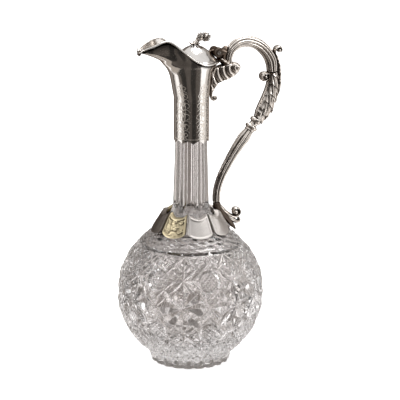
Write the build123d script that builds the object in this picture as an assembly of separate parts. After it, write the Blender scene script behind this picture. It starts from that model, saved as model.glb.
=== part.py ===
from build123d import *
from math import cos, pi, radians, sin, sqrt, tan
import os

# Claret jug: a cut-glass bottle with silver mounts, a hinged lid and a cast scroll handle.
# Millimetres. Z is up, the origin is the centre of the foot on the table, +X points to the
# handle and -X to the spout. The jug is its own mirror image across the XZ plane.

# ---------------------------------------------------------------- sizes of the glass
globe_radius = 66.0
foot_radius = 35.0
foot_waist_radius = 38.0
foot_height = 10.0
foot_flutes = 24
foot_flute_depth = 1.8
neck_radius = 14.5
neck_root_radius = 16.2
neck_top_z = 258.0
neck_fillet = 30.0
neck_slices = 6
arris_land = 0.3
glass_wall = 10.0
bore_radius = 9.5
bore_fillet = 14.0
globe_sides = 36  # flats round the glass; round forms are skinned flat by flat
cavity_sides = 24
chord_turn = 12  # degrees of arc to each chord of the glass profile

# ---------------------------------------------------------------- wheel cuts in the globe
stars = 8
star_azimuth = 14.0
row_latitude = 22.0
fan_latitude = 39.0
star_depth = 4.0
node_depth = 1.3
fan_depth = 1.9
wheel_half_angle = 60.0
ring_groove_z = 110.4
ring_groove_depth = 1.2
base_rays = 16
base_ray_inner = 4.0
base_ray_outer = 30.0
base_ray_depth = 0.9

# ---------------------------------------------------------------- sizes of the neck mount
silver = 0.8
mouth_sides = 28
sleeve_radius = 15.7
sleeve_bottom_z = 203.5
sleeve_lobes = 10
sleeve_lobe_depth = 1.6
flare_z = 240.0
mouth_half_width = 20.0
mouth_back = 24.5
mouth_z = 272.5
spout_reach = 54.0
spout_underside_z = 286.0
crest_z = 295.8
dip_z = 274.2
moulding_height = 2.2
moulding_proud = 1.0
fit = 0.03  # soldered and cemented faces stand this far apart

# ---------------------------------------------------------------- sizes of the lid and hinge
seat_z = 271.0
seat_thickness = 1.2
seat_width = 3.0
lid_gap = 0.5
lid_sides = 28
lid_front = 17.5
lid_lift = 0.3
lid_wire = 1.4
apex_z = 288.8
apex_x = 2.8
finial_tip = (15.2, 298.9)
finial_radius = 3.7
hinge_x = 23.6
hinge_z = 280.4
knuckle_radius = 3.6
hinge_length = 12.0
middle_knuckle = 4.8
pin_radius = 1.2
pin_play = 0.05
hinge_gap = 0.35

# ---------------------------------------------------------------- sizes of the handle
scroll_radius = 4.9
scroll_root_radius = 2.9
scroll_reeds = 9
reed_depth = 0.14
shaft_flutes = 8
flute_depth = 0.16
shaft_radius = 3.6
collar_radius = 5.6
collar_sides = 16
bead_sides = 12
strap_half_width = 4.6
bracket_half_width = 4.2
scroll_joint = ((79.3, 257.3), (0.12, -1))  # where two lengths of the handle meet, and which way it runs
collar_joint = ((64.5, 216.1), (-0.61, -0.79))
shaft_joint = ((56.8, 206.2), (-0.61, -0.79))
strap_joint = ((25.1, 143.3), (0.1, -1))
volute_strip = 1.1
volute_half_width = 4.6

# ---------------------------------------------------------------- sizes of the calyx
lappet_count = 9
calyx_sides = 36
lappet_top = (22.0, 140.0)
lappet_tip_radius = 34.0
lappet_thickness = 1.6
lappet_half_angle = 18.4
lappet_hollow = 4.2
lappet_lobe = 6.4
band_thickness = 1.2
band_from_top = 8.0
band_height = 8.0

globe_z = foot_height + sqrt(globe_radius**2 - foot_waist_radius**2)


# ---------------------------------------------------------------- helpers
def chords(centre, radius, start, end):
    """Points on an arc from angle start to angle end, in degrees, a chord to each chord_turn."""
    count = max(2, round(abs(end - start) / chord_turn))
    angles = [radians(start + (end - start) * i / count) for i in range(count + 1)]
    return [(centre[0] + radius * cos(a), centre[1] + radius * sin(a)) for a in angles]


def angle_of(centre, point):
    """Direction of a point seen from a centre, in degrees."""
    return Vector(1, 0).get_signed_angle(Vector(point[0] - centre[0], point[1] - centre[1]), Vector(0, 0, 1))


def shoulder(sphere, neck, fillet):
    """Centre of the fillet between a sphere and a neck, and the point where it leaves the sphere."""
    x = neck + fillet
    z = globe_z + sqrt((sphere + fillet) ** 2 - x**2)
    share = sphere / (sphere + fillet)
    return (x, z), (x * share, globe_z + (z - globe_z) * share)


def skinned(rings):
    """A solid inside flat faces laid from ring to ring of points, closed by the end rings."""
    faces = [Face(Wire.make_polygon(rings[0])), Face(Wire.make_polygon(rings[-1]))]
    for low, high in zip(rings, rings[1:]):
        for i in range(len(low)):
            j = (i + 1) % len(low)
            a, b, c, d = Vector(low[i]), Vector(low[j]), Vector(high[j]), Vector(high[i])
            if abs((b - a).cross(d - a).normalized().dot(c - a)) < 1e-6:
                faces.append(Face(Wire.make_polygon([a, b, c, d])))
            elif (c - a).length < (d - b).length:
                faces += [Face(Wire.make_polygon([a, b, c])), Face(Wire.make_polygon([a, c, d]))]
            else:
                faces += [Face(Wire.make_polygon([a, b, d])), Face(Wire.make_polygon([b, c, d]))]
    return Solid(Shell(faces))


def turned(points, sides):
    """A solid about Z, through rings of flats at each (radius, z) from bottom to top."""
    turns = [2 * pi * i / sides for i in range(sides)]
    return skinned([[(r * cos(t), r * sin(t), z) for t in turns] for r, z in points])


def along(values, share):
    """Value at a share of the way along evenly spaced values."""
    place = share * (len(values) - 1)
    low = min(int(place), len(values) - 2)
    return values[low] + (values[low + 1] - values[low]) * (place - low)


def past(joint, distance):
    """The point this far beyond a joint of the handle."""
    (x, z), (run, rise) = joint
    step = distance / sqrt(run**2 + rise**2)
    return x + run * step, z + rise * step


def bar(route, thick, wide, section, steps, start=None, end=None):
    """A bar along a curve through points of the XZ plane. Its half thickness and half width
    follow the values given, and its section is a ring of unit points."""
    start = start or (route[1][0] - route[0][0], route[1][1] - route[0][1])
    end = end or (route[-1][0] - route[-2][0], route[-1][1] - route[-2][1])
    tangents = [(start[0], 0, start[1]), (end[0], 0, end[1])]
    curve = Spline(*[(x, 0, z) for x, z in route], tangents=tangents)
    rings = []
    for i in range(steps + 1):
        share = i / steps
        at, run = curve @ share, curve % share
        side = Vector(-run.Z, 0, run.X)
        a, b = along(thick, share), along(wide, share)
        rings.append([at + side * (a * p) + Vector(0, b * q, 0) for p, q in section])
    return skinned(rings)


def lobed(count, depth):
    """Unit ring of ridges and hollows."""
    turns = [pi * i / count for i in range(2 * count)]
    return [((1 - depth * (i % 2)) * cos(t), (1 - depth * (i % 2)) * sin(t)) for i, t in enumerate(turns)]


strip = [(1, 0.82), (0.6, 1), (-0.6, 1), (-1, 0.82), (-1, -0.82), (-0.6, -1), (0.6, -1), (1, -0.82)]


def plate(outline, half_width):
    """A plate cut to an outline of the XZ plane, both sides of the mirror plane."""
    return extrude(Plane.XZ * make_face(outline), half_width, both=True)


def peg(radius, x, z, low, high):
    """A round bar along Y."""
    return Pos(x, (low + high) / 2, z) * Rot(90, 0, 0) * Cylinder(radius, high - low)


def bead(radius, x, z, half):
    """A rounded button along Y, the eye of a scroll."""
    shape = [(0.55, -half), (1, -0.8 * half), (1, 0.8 * half), (0.55, half)]
    return Pos(x, 0, z) * Rot(90, 0, 0) * turned([(r * radius, y) for r, y in shape], bead_sides)


# ---------------------------------------------------------------- glass
def glass_blank(grow):
    """The bottle before its globe is cut, solid inside, or the room it takes up in the mounts
    when grown by a clearance."""
    edge = neck_root_radius - arris_land + grow
    fillet = neck_fillet - grow
    centre, leave = shoulder(globe_radius + grow, edge, fillet)
    waist = angle_of((0, globe_z), (foot_waist_radius, foot_height))
    points = [(foot_radius, 0)]
    points += chords((0, globe_z), globe_radius + grow, waist, angle_of((0, globe_z), leave))
    points += chords(centre, fillet, angle_of(centre, leave), -180)[1:]
    top = neck_radius - arris_land + grow
    points += [(top, sleeve_bottom_z), (top, neck_top_z)]
    blank = turned(points, globe_sides)
    # flat slices down the neck, each running out on the globe
    share = cos(pi / neck_slices)
    centre, leave = shoulder(globe_radius + grow, neck_root_radius * share + grow, fillet)
    start = (neck_radius * share + grow, neck_top_z + 1)
    slice_line = [start, (start[0], sleeve_bottom_z)]
    slice_line += chords(centre, fillet, -180, angle_of(centre, leave))
    run = 2 * neck_fillet
    far = (leave[0] + run, leave[1] - run * leave[0] / (leave[1] - globe_z))
    slice_line += [far, (far[0], start[1])]
    wheel = plate(Polyline(*slice_line, close=True), 2 * neck_fillet)
    return blank - [Rot(0, 0, 360 / neck_slices * i) * wheel for i in range(neck_slices)]


def mitre(azimuth, latitude, turn, depth):
    """The V that a flat wheel leaves: a straight edge this deep under the globe's surface."""
    reach = sqrt(depth * (2 * globe_radius - depth)) + 1
    top = depth + 1
    half = (depth + top) * tan(radians(wheel_half_angle))
    edge = Face(Wire.make_polygon([(0, -depth), (half, top), (-half, top)]))
    to_surface = Pos(0, 0, globe_z) * Rot(0, 0, azimuth) * Rot(0, 90 - latitude, 0)
    return to_surface * Pos(0, 0, globe_radius) * Rot(0, 0, turn) * extrude(Plane.XZ * edge, reach, both=True)


def globe_cuts():
    """Eight-rayed stars on the equator, small star nodes between and above them, and fans."""
    cuts = []
    pitch = 360 / stars
    for i in range(stars):
        azimuth = star_azimuth + pitch * i
        for turn in (0, 45, 90, 135):
            cuts.append(mitre(azimuth, 0, turn, star_depth))
            cuts.append(mitre(azimuth + pitch / 2, 0, turn, node_depth))
            cuts.append(mitre(azimuth, row_latitude, turn, node_depth))
            cuts.append(mitre(azimuth, -row_latitude, turn, node_depth))
        for turn in (-35, 35):
            cuts.append(mitre(azimuth, fan_latitude, turn, fan_depth))
            cuts.append(mitre(azimuth, -fan_latitude, turn, fan_depth))
    return cuts


def glass_body(blank):
    body = blank - globe_cuts()
    # ring groove under the calyx
    r = sqrt(globe_radius**2 - (ring_groove_z - globe_z) ** 2)
    low, high = ring_groove_z - 0.7 * ring_groove_depth, ring_groove_z + 2.2 * ring_groove_depth
    groove = turned([(r + 5 * ring_groove_depth, low), (r + 5 * ring_groove_depth, high)], globe_sides)
    groove -= turned([(r - 0.7 * ring_groove_depth, low - 1), (r - 0.7 * ring_groove_depth, high + 1)], globe_sides)
    # flutes round the foot
    v = Face(Wire.make_polygon([(-foot_flute_depth, 0), (foot_height, foot_height), (foot_height, -foot_height)]))
    lean = Rot(0, -(foot_waist_radius - foot_radius) / foot_height * 45, 0)
    flute = Pos(foot_radius, 0, 0) * lean * extrude(v, foot_height * 0.86, both=True)
    flutes = [Rot(0, 0, 360 / foot_flutes * i) * flute for i in range(foot_flutes)]
    # rays under the foot
    d = base_ray_depth
    v = Face(Wire.make_polygon([(0, d), (2 * d, -d), (-2 * d, -d)]))
    ray = Pos(base_ray_inner, 0, 0) * extrude(Plane.YZ * v, base_ray_outer - base_ray_inner)
    rays = [Rot(0, 0, 360 / base_rays * i) * ray for i in range(base_rays)]
    # inside
    hollow = globe_radius - glass_wall
    centre, leave = shoulder(hollow, bore_radius, bore_fillet)
    points = chords((0, globe_z), hollow, -84, angle_of((0, globe_z), leave))
    points += chords(centre, bore_fillet, angle_of(centre, leave), -180)[1:]
    points += [(bore_radius, neck_top_z + 1)]
    return body - [groove, *flutes, *rays] - turned(points, cavity_sides)


# ---------------------------------------------------------------- neck mount
spout_plan = Spline((0, 1), (0.13, 0.945), (0.27, 0.8), (0.46, 0.5), (0.84, 0.38), (1, 0), tangents=[(1, 0), (0, -1)])


def mouth_ring(z, back, half, front, spouted, inset):
    """Ring of points of the sleeve or mouth at one height. Spouted is 0 for a round one and 1
    for the full spout, with its shoulders drawn in to a narrow lip."""
    back, half, front = back - inset, half - inset, front - inset
    steps = mouth_sides // 4
    turns = [pi / 2 * i / steps for i in range(1, steps + 1)]
    line = [(back, 0)] + [(back * cos(t), half * sin(t)) for t in turns]
    for i, t in enumerate(turns, 1):
        spout = spout_plan @ (i / steps)
        reach = sin(t) + (spout.X - sin(t)) * spouted
        width = cos(t) + (spout.Y - cos(t)) * spouted
        line.append((-front * reach, half * width if i < steps else 0))
    line += [(x, -y) for x, y in reversed(line[1:-1])]
    return [(x, y, z) for x, y in line]


def mouth_solid(inset, raised, bottom):
    """The sleeve's outside, or its inside when inset and raised by the sheet's thickness."""
    flare = mouth_z - flare_z
    under = spout_underside_z - mouth_z
    wide = mouth_half_width - sleeve_radius
    deep = mouth_back - sleeve_radius
    reach = spout_reach - sleeve_radius
    # height, then how much of the flare to the back, to the side and to the spout is reached
    steps = [
        (flare_z, 0, 0, 0, 0),
        (flare_z + 0.25 * flare, 0.05, 0.12, 0.04, 0),
        (flare_z + 0.49 * flare, 0.13, 0.28, 0.08, 0),
        (flare_z + 0.68 * flare, 0.22, 0.45, 0.12, 0.03),
        (flare_z + 0.83 * flare, 0.4, 0.64, 0.18, 0.1),
        (flare_z + 0.93 * flare, 0.72, 0.8, 0.24, 0.17),
        (mouth_z, 1, 0.95, 0.3, 0.25),
        (mouth_z + 0.3 * under, 1, 1.03, 0.4, 0.42),
        (mouth_z + 0.55 * under, 1, 1.07, 0.57, 0.62),
        (mouth_z + 0.78 * under, 1, 1.1, 0.78, 0.82),
        (spout_underside_z, 1, 1.12, 1, 1),
        (crest_z + 4, 1, 1.16, 1.05, 1),
    ]
    rings = [mouth_ring(bottom, sleeve_radius, sleeve_radius, sleeve_radius, 0, inset)]
    for z, to_back, to_side, to_spout, spouted in steps:
        size = (sleeve_radius + deep * to_back, sleeve_radius + wide * to_side, sleeve_radius + reach * to_spout)
        rings.append(mouth_ring(z + raised, *size, spouted, inset))
    return skinned(rings)


def over_rim(drop):
    """All that lies above the rim's wavy line, lowered by drop."""
    line = Spline(
        (mouth_back + 1, mouth_z - 0.4 - drop),
        (0.2 * mouth_back, dip_z - drop),
        (-0.24 * spout_reach, dip_z + 0.46 * (crest_z - dip_z) - drop),
        (-0.56 * spout_reach, crest_z - drop),
        (-0.8 * spout_reach, spout_underside_z + 0.62 * (crest_z - spout_underside_z) - drop),
        (-1.01 * spout_reach, spout_underside_z - 0.5 - drop),
        tangents=[(-1, 0.05), (-0.45, -1)],
    )
    end = line @ 1
    points = [line @ (i / 18) for i in range(19)]
    outline = [(p.X, p.Y) for p in points]
    outline += [(end.X - 6, end.Y), (end.X - 6, crest_z + 10), (mouth_back + 10, crest_z + 10)]
    outline += [(mouth_back + 10, (line @ 0).Y)]
    return plate(Polyline(*outline, close=True), 2 * mouth_half_width)


def neck_sleeve():
    tube = mouth_solid(0, 0, sleeve_bottom_z) - mouth_solid(silver, silver, sleeve_bottom_z - 1)
    gap = 2 * pi * sleeve_radius / sleeve_lobes / 2
    notch = Rot(0, 90, 0) * Cylinder(gap * 0.62, 4 * sleeve_radius)
    notch = Pos(0, 0, sleeve_bottom_z + sleeve_lobe_depth - gap * 0.62) * notch
    notches = [Rot(0, 0, 360 / sleeve_lobes * (i + 0.5)) * notch for i in range(sleeve_lobes // 2)]
    return tube - notches - over_rim(moulding_height)


def rim_moulding():
    """Wire on the rim's edge, proud of the sheet outside."""
    band = mouth_solid(-moulding_proud, 0, flare_z - 1) - mouth_solid(silver, silver, flare_z - 2)
    return band - over_rim(0) & over_rim(moulding_height)


def lid_level(z, share, inset):
    """Ring of the lid: the mouth less the gap round it, with a round front, drawn in about the
    apex by a share."""
    back = mouth_back - silver - lid_gap - inset
    half = mouth_half_width - silver - lid_gap - inset - 0.3
    front = lid_front - inset
    turns = [2 * pi * i / lid_sides for i in range(lid_sides)]
    line = [((back if cos(t) > 0 else front) * cos(t), half * sin(t)) for t in turns]
    return [(apex_x + (x - apex_x) * share, y * share, z) for x, y in line]


lid_edge_z = seat_z + seat_thickness + lid_lift


def lid_seat_ring():
    """Ledge soldered inside the mouth."""
    low, high = seat_z, seat_z + seat_thickness
    ledge = skinned([lid_level(z, 1, -lid_gap - silver) for z in (low, high)])
    hole = skinned([lid_level(z, 1, seat_width) for z in (low - 1, high + 1)])
    return (mouth_solid(silver + fit, silver + fit, flare_z) & ledge) - hole


def sleeve_cement(blank):
    low = sleeve_bottom_z + 2 * sleeve_lobe_depth
    height = flare_z - 4 - low
    return turned([(sleeve_radius - silver - fit, low), (sleeve_radius - silver - fit, low + height)], mouth_sides) - blank


# ---------------------------------------------------------------- lid
lid_profile = [(0, 1), (0.12, 0.985), (0.36, 0.83), (0.6, 0.64), (0.8, 0.43), (0.93, 0.22), (1, 0.06)]


def lid_hull(inset, drop):
    rise = apex_z - lid_edge_z
    return skinned([lid_level(lid_edge_z + rise * up - drop, share, inset) for up, share in lid_profile])


def lid_dome():
    return lid_hull(0, 0) - lid_hull(silver, silver)


def lid_rim_wire():
    """Wire round the inside of the lid's edge, standing on the seat."""
    low, high = lid_edge_z - lid_lift + 0.1, lid_edge_z + lid_wire
    outer = silver + 2 * lid_lift
    ring = skinned([lid_level(z, 1, outer) for z in (low, high)])
    return ring - skinned([lid_level(z, 1, outer + lid_wire) for z in (low - 1, high + 1)])


def finial():
    """Bud of leaves leaning back over the lid, the thumb's rest."""
    base = (apex_x, apex_z + fit)
    route = [base, (apex_x + 2.2, apex_z + 3.2), (apex_x + 6.5, apex_z + 5.6), finial_tip]
    thick = [f * finial_radius for f in (0.42, 0.75, 0.45, 0.95, 1.0, 0.9, 0.7, 0.3)]
    return bar(route, thick, thick, lobed(6, 0.22), 13) - lid_hull(-fit, -fit)


def finial_nut():
    nut = Pos(apex_x, 0, apex_z - silver - 2) * turned([(2.2, 0), (2.2, 2)], 6)
    return nut & lid_hull(silver + fit, silver + fit)


def lid_hinge_leaf():
    half = middle_knuckle / 2
    r = knuckle_radius
    leaf = plate(Polyline((hinge_x, hinge_z + r - 0.2), (hinge_x - 2 * r, hinge_z + 1.6),
                          (hinge_x - 2.6 * r, hinge_z - 1.2), (hinge_x - r, hinge_z - 2.6),
                          (hinge_x, hinge_z - 2), close=True), half)
    leaf += peg(r, hinge_x, hinge_z, -half, half)
    return leaf - peg(pin_radius + pin_play, hinge_x, hinge_z, -half - 1, half + 1) - lid_hull(-fit, -fit)


# ---------------------------------------------------------------- hinge, fixed half
def hinge_base(scroll):
    half = hinge_length / 2
    inner = middle_knuckle / 2 + hinge_gap / 2
    r = knuckle_radius
    back = hinge_x + r + hinge_gap
    head = Polyline((back, hinge_z + 3), (back + 7, hinge_z + 5), (back + 7, seat_z - 4),
                    (mouth_back - 1, seat_z - 4), (mouth_back + 1.4, hinge_z - 5), (back, hinge_z - r),
                    close=True)
    base = plate(head, bracket_half_width)
    for low, high in ((inner, half), (-half, -inner)):
        ear = Polyline((hinge_x, hinge_z + r), (back + 3, hinge_z + 3), (back + 3, hinge_z - r), (hinge_x, hinge_z - r),
                       close=True)
        base += Pos(0, (low + high) / 2, 0) * plate(ear, (high - low) / 2)
        base += peg(r, hinge_x, hinge_z, low, high)
    base -= peg(pin_radius + fit / 3, hinge_x, hinge_z, -half - 1, half + 1)
    wall = mouth_solid(-moulding_proud - fit, 0, flare_z - 1)
    return base - wall - scroll


def hinge_pin():
    half = hinge_length / 2
    pin = peg(pin_radius, hinge_x, hinge_z, -half - 0.8, half + 0.8)
    for low, high in ((half + fit, half + 0.8), (-half - 0.8, -half - fit)):
        pin += peg(pin_radius * 1.6, hinge_x, hinge_z, low, high)
    return pin


# ---------------------------------------------------------------- handle
def handle_upper_scroll():
    route = [(36.1, 268.5), (36.0, 276.5), (43.0, 285.3), (52.5, 287.5), (63.0, 284.4), (72.3, 276.4),
             (77.9, 266.5), scroll_joint[0]]
    r, root = scroll_radius, scroll_root_radius
    thick = [root, root * 1.1, 0.92 * r, r, r, r, r, 0.95 * r]
    wide = [root * 1.1, root * 1.3, 0.95 * r, r, r, r, r, 0.95 * r]
    return bar(route, thick, wide, lobed(scroll_reeds, reed_depth), 18, end=scroll_joint[1])


def acanthus_shaft():
    """Shaft wrapped in a leaf, whose five lobes swell its outer side."""
    route = [past(scroll_joint, fit), (80.9, 249.5), (79.4, 242.0), (76.3, 234.6), (72.3, 227.0), (68.4, 220.9),
             collar_joint[0]]
    thick = [5.0, 6.1, 6.6, 7.3, 6.9, 7.6, 7.2, 7.9, 7.3, 7.6, 6.4, 4.3]
    wide = [4.6, 5.2, 5.6, 5.3, 5.8, 5.4, 5.9, 5.5, 5.9, 5.3, 5.0, 4.2]
    return bar(route, thick, wide, lobed(7, 0.12), 18, scroll_joint[1], collar_joint[1])


def handle_collar():
    """Two rings with a cove between, turned on the handle's line."""
    (x0, z0), (x1, z1) = past(collar_joint, fit), shaft_joint[0]
    length = sqrt((x1 - x0) ** 2 + (z1 - z0) ** 2)
    r = collar_radius
    shape = [(0.72, 0), (0.92, 0.12), (0.92, 0.28), (0.66, 0.36), (0.66, 0.56), (1, 0.64), (1, 0.82), (0.8, 1)]
    knop = turned([(out * r, share * length) for out, share in shape], collar_sides)
    return Plane(origin=(x0, 0, z0), x_dir=(0, 1, 0), z_dir=(x1 - x0, 0, z1 - z0)) * knop


def fluted_shaft():
    route = [past(shaft_joint, fit), (47.5, 194.9), (41.5, 186.6), (36.3, 178.4), (31.2, 169.6), (27.4, 160.9),
             (25.3, 152.5), strap_joint[0]]
    r = shaft_radius
    thick = [1.2 * r, 1.5 * r, 1.36 * r, 1.24 * r, 1.15 * r, 1.08 * r, 1.02 * r, r, r]
    return bar(route, thick, thick, lobed(shaft_flutes, flute_depth), 15, shaft_joint[1], strap_joint[1])


def calyx_cone(out, bottom, top):
    """Solid cone of the lappets' outside, moved out along its normal, between two heights."""
    slope = lappet_slope()
    shift = out * sqrt(1 + slope**2)
    low_r = lappet_top[0] + (lappet_top[1] - bottom) * slope + shift
    high_r = lappet_top[0] + (lappet_top[1] - top) * slope + shift
    return turned([(low_r, bottom), (high_r, top)], calyx_sides)


def lappet_tip_z():
    return globe_z + sqrt(globe_radius**2 - lappet_tip_radius**2)


def lappet_slope():
    """How far a lappet spreads for each millimetre down."""
    return (lappet_tip_radius - lappet_top[0]) / (lappet_top[1] - lappet_tip_z())


def handle_foot(room):
    """Flat strap over the calyx to its tip on the glass."""
    route = [past(strap_joint, fit), (26.6, 135.4), (32.4, 127.6), (38.2, 120.6), (42.2, 115.2)]
    thick = [3.2, 3.0, 2.7, 2.3, 1.7, 0.9]
    strap = bar(route, thick, [3.4, 4.0, strap_half_width, 4.4, 3.4, 1.6], strip, 12, start=strap_joint[1])
    return strap - calyx_cone(fit, lappet_tip_z() - 4, lappet_top[1] + 2) - room


def foot_scroll(foot):
    """Branch that leaves the strap and curls up round a ball, with a small leaf under it."""
    route = [(29.0, 139.0), (32.4, 133.4), (37.6, 129.0), (43.2, 127.4), (46.9, 130.3), (45.9, 134.6), (42.3, 134.9),
             (41.0, 132.0)]
    curl = bar(route, [0.9, 1.4, 1.5, 1.4, 1.2, 1.0, 0.9, 0.7], [2.4, 3.2, 3.6, 3.6, 3.4, 3.2, 3.0, 2.8], strip, 18)
    curl += bead(2.2, 43.2, 131.3, 3.9)
    curl += bar([(35.5, 128.2), (40.0, 125.4), (44.2, 122.4)], [1.3, 1.6, 0.4], [2.0, 3.0, 1.0], strip, 5)
    return curl - foot


def inner_volute(scroll, shaft):
    route = [(75.4, 258.6), (71.4, 257.9), (67.6, 257.0), (65.6, 253.8), (67.4, 250.7), (70.6, 250.8), (71.8, 253.4)]
    s = volute_strip
    curl = bar(route, [s, s, s, s, s, 0.9 * s, 0.8 * s], [volute_half_width] * 7, strip, 16)
    curl += bead(2.4, 69.4, 253.6, volute_half_width + 0.5)
    return curl - scroll - shaft


def leaf_volute(scroll, shaft):
    route = [(84.0, 261.0), (86.3, 268.6), (87.2, 274.5), (86.1, 279.4), (82.3, 280.4), (80.2, 277.2), (82.4, 274.9)]
    s = volute_strip
    curl = bar(route, [s, 1.2 * s, 1.2 * s, s, s, 0.9 * s, 0.8 * s], [2.6, 3.6, 4.2, 4.6, 4.6, 4.6, 4.4], strip, 16)
    curl += bead(2.4, 83.4, 277.2, volute_half_width + 0.5)
    return curl - scroll - shaft


def handle_bracket(scroll, base):
    """Shell bracket between the sleeve and the scroll, ribbed on both faces, with its ball."""
    lower = Spline((42.4, 259.6), (35.8, 256.6), (29.0, 254.0), (23.6, 251.6), (20.2, 245.8),
                   tangents=[(-1, -0.4), (-0.2, -1)])
    outline = [(14, 245.8), (14, 262), (17, 269), (34.5, 267.2), (38.8, 266.4), (42.4, 264.4), (43.4, 261.8)]
    outline += [(p.X, p.Y) for p in (lower @ (i / 10) for i in range(11))]
    shell = plate(Polyline(*outline, close=True), bracket_half_width)
    shell += bead(2.8, 42.0, 264.6, bracket_half_width + 1)
    for i, x in enumerate((24.5, 29.0, 33.5, 37.6)):
        rib = Rot(0, 24 + 6 * i, 0) * Rot(0, 0, 45) * Box(2.0, 2.0, 26)
        for side in (-1, 1):
            shell -= Pos(x, side * (bracket_half_width + 0.35), 259.5) * rib
    return shell - mouth_solid(fit * -1, 0, flare_z - 4) - scroll - base - rim_space()


def rim_space():
    """The room of the rim wire, which the bracket and the hinge stay out of."""
    return mouth_solid(-moulding_proud - fit, 0, flare_z - 1) & over_rim(moulding_height + fit)


def bracket_tail(bracket):
    route = [(18.3, 246.5), (17.4, 241.0), (18.2, 237.6), (21.0, 236.6), (23.0, 238.6), (21.8, 240.4)]
    tail = bar(route, [1.1, 1.1, 1.0, 0.9, 0.8, 0.6], [2.2, 2.4, 2.4, 2.3, 2.1, 1.8], strip, 12)
    return tail - mouth_solid(-fit, 0, flare_z - 8) - bracket


# ---------------------------------------------------------------- calyx
def lappet_tool(azimuth):
    """Tongue outline square to the cone, hollow at the top and lobed at the foot."""
    slope = lappet_slope()
    slant = sqrt(1 + slope**2)
    length = (lappet_top[1] - lappet_tip_z()) * slant
    half_top = lappet_top[0] * sin(radians(lappet_half_angle))
    side_r = lappet_tip_radius - lappet_lobe * slope / slant
    half_low = side_r * sin(radians(lappet_half_angle))
    low = -length + lappet_lobe
    top = ThreePointArc((-half_top, 0), (0, -lappet_hollow), (half_top, 0))
    lobe = ThreePointArc((half_low, low), (0, -length), (-half_low, low))
    line = [top @ (i / 4) for i in range(5)] + [lobe @ (i / 6) for i in range(7)]
    tongue = make_face(Polyline(*line, close=True))
    frame = Plane(origin=(lappet_top[0], 0, lappet_top[1]), x_dir=(0, 1, 0), z_dir=(1, 0, slope))
    return Rot(0, 0, azimuth) * (frame * extrude(tongue, 6, both=True))


def calyx(room):
    """Lappets round the neck's root, one facing the spout, and the handle between two."""
    tip = lappet_tip_z() - 4
    top = lappet_top[1] + 2
    shell = calyx_cone(0, tip, top) - calyx_cone(-lappet_thickness, tip - 1, top + 1)
    shell -= room
    pitch = 360 / lappet_count
    plain, gilt = [], []
    for i in range(lappet_count):
        lappet = shell & lappet_tool(180 + pitch * i)
        (gilt if i in (1, lappet_count - 1) else plain).append(lappet)
    return plain, gilt


def calyx_band():
    high = lappet_top[1] - band_from_top
    low = high - band_height
    outer = calyx_cone(-lappet_thickness - fit, low, high)
    return outer - calyx_cone(-lappet_thickness - fit - band_thickness, low - 1, high + 1)


def calyx_cement(blank):
    high = lappet_top[1] - band_from_top - 1
    low = high - band_height + 2
    return calyx_cone(-lappet_thickness - band_thickness - 2 * fit, low, high) - blank


# ---------------------------------------------------------------- the whole jug
os.makedirs("parts", exist_ok=True)
blank = glass_blank(0)
room = glass_blank(fit)
scroll = handle_upper_scroll()
base = hinge_base(scroll)
bracket = handle_bracket(scroll, base)
shaft = acanthus_shaft()
foot = handle_foot(room)
plain_lappets, gilt_lappets = calyx(room)
pieces = {
    "glass_body": glass_body(blank),
    "neck_sleeve": neck_sleeve(),
    "rim_moulding": rim_moulding(),
    "lid_seat_ring": lid_seat_ring(),
    "sleeve_cement": sleeve_cement(blank),
    "lid_dome": lid_dome(),
    "lid_rim_wire": lid_rim_wire(),
    "lid_hinge_leaf": lid_hinge_leaf(),
    "finial": finial(),
    "finial_nut": finial_nut(),
    "hinge_base": base,
    "hinge_pin": hinge_pin(),
    "handle_upper_scroll": scroll,
    "handle_bracket": bracket,
    "bracket_tail": bracket_tail(bracket),
    "inner_volute": inner_volute(scroll, shaft),
    "acanthus_shaft": shaft,
    "leaf_volute": leaf_volute(scroll, shaft),
    "handle_collar": handle_collar(),
    "fluted_shaft": fluted_shaft(),
    "handle_foot": foot,
    "foot_scroll": foot_scroll(foot),
    "calyx_band": calyx_band(),
    "lappets": Compound(children=plain_lappets),
    "gilt_lappets": Compound(children=gilt_lappets),
    "calyx_cement": calyx_cement(blank),
}
for name, piece in pieces.items():
    export_step(piece, f"parts/{name}.step")
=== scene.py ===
from math import cos, pi, radians, sin, sqrt

import bpy
import numpy as np
from bpy.props import FloatProperty, IntProperty, PointerProperty, StringProperty
from mathutils import Matrix, Vector


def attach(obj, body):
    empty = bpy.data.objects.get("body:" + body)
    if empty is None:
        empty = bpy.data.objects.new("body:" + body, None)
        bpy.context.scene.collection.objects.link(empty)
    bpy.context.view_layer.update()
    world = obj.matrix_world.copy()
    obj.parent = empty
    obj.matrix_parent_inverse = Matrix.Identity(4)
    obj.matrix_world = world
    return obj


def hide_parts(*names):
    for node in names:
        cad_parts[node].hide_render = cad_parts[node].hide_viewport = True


bl_info = {
    "name": "Claret jug",
    "version": (1, 0, 0),
    "blender": (4, 5, 0),
    "location": "3D View > Sidebar > Claret jug",
    "description": "Cut-glass claret jug with silver mounts, a hinged lid and a scroll handle",
    "category": "Object",
}

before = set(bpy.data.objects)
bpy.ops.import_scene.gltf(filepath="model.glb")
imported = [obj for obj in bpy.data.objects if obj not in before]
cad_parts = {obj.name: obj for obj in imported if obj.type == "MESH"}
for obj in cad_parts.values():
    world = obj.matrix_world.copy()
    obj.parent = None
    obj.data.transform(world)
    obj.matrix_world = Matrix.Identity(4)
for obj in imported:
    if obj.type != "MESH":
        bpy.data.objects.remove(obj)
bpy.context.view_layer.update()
MM = 0.001


def size(name, description, mm):
    return FloatProperty(name=name, description=description, default=mm, min=0.0)


def colour(name, description, code):
    return StringProperty(name=name, description=description, default=code)


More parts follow.
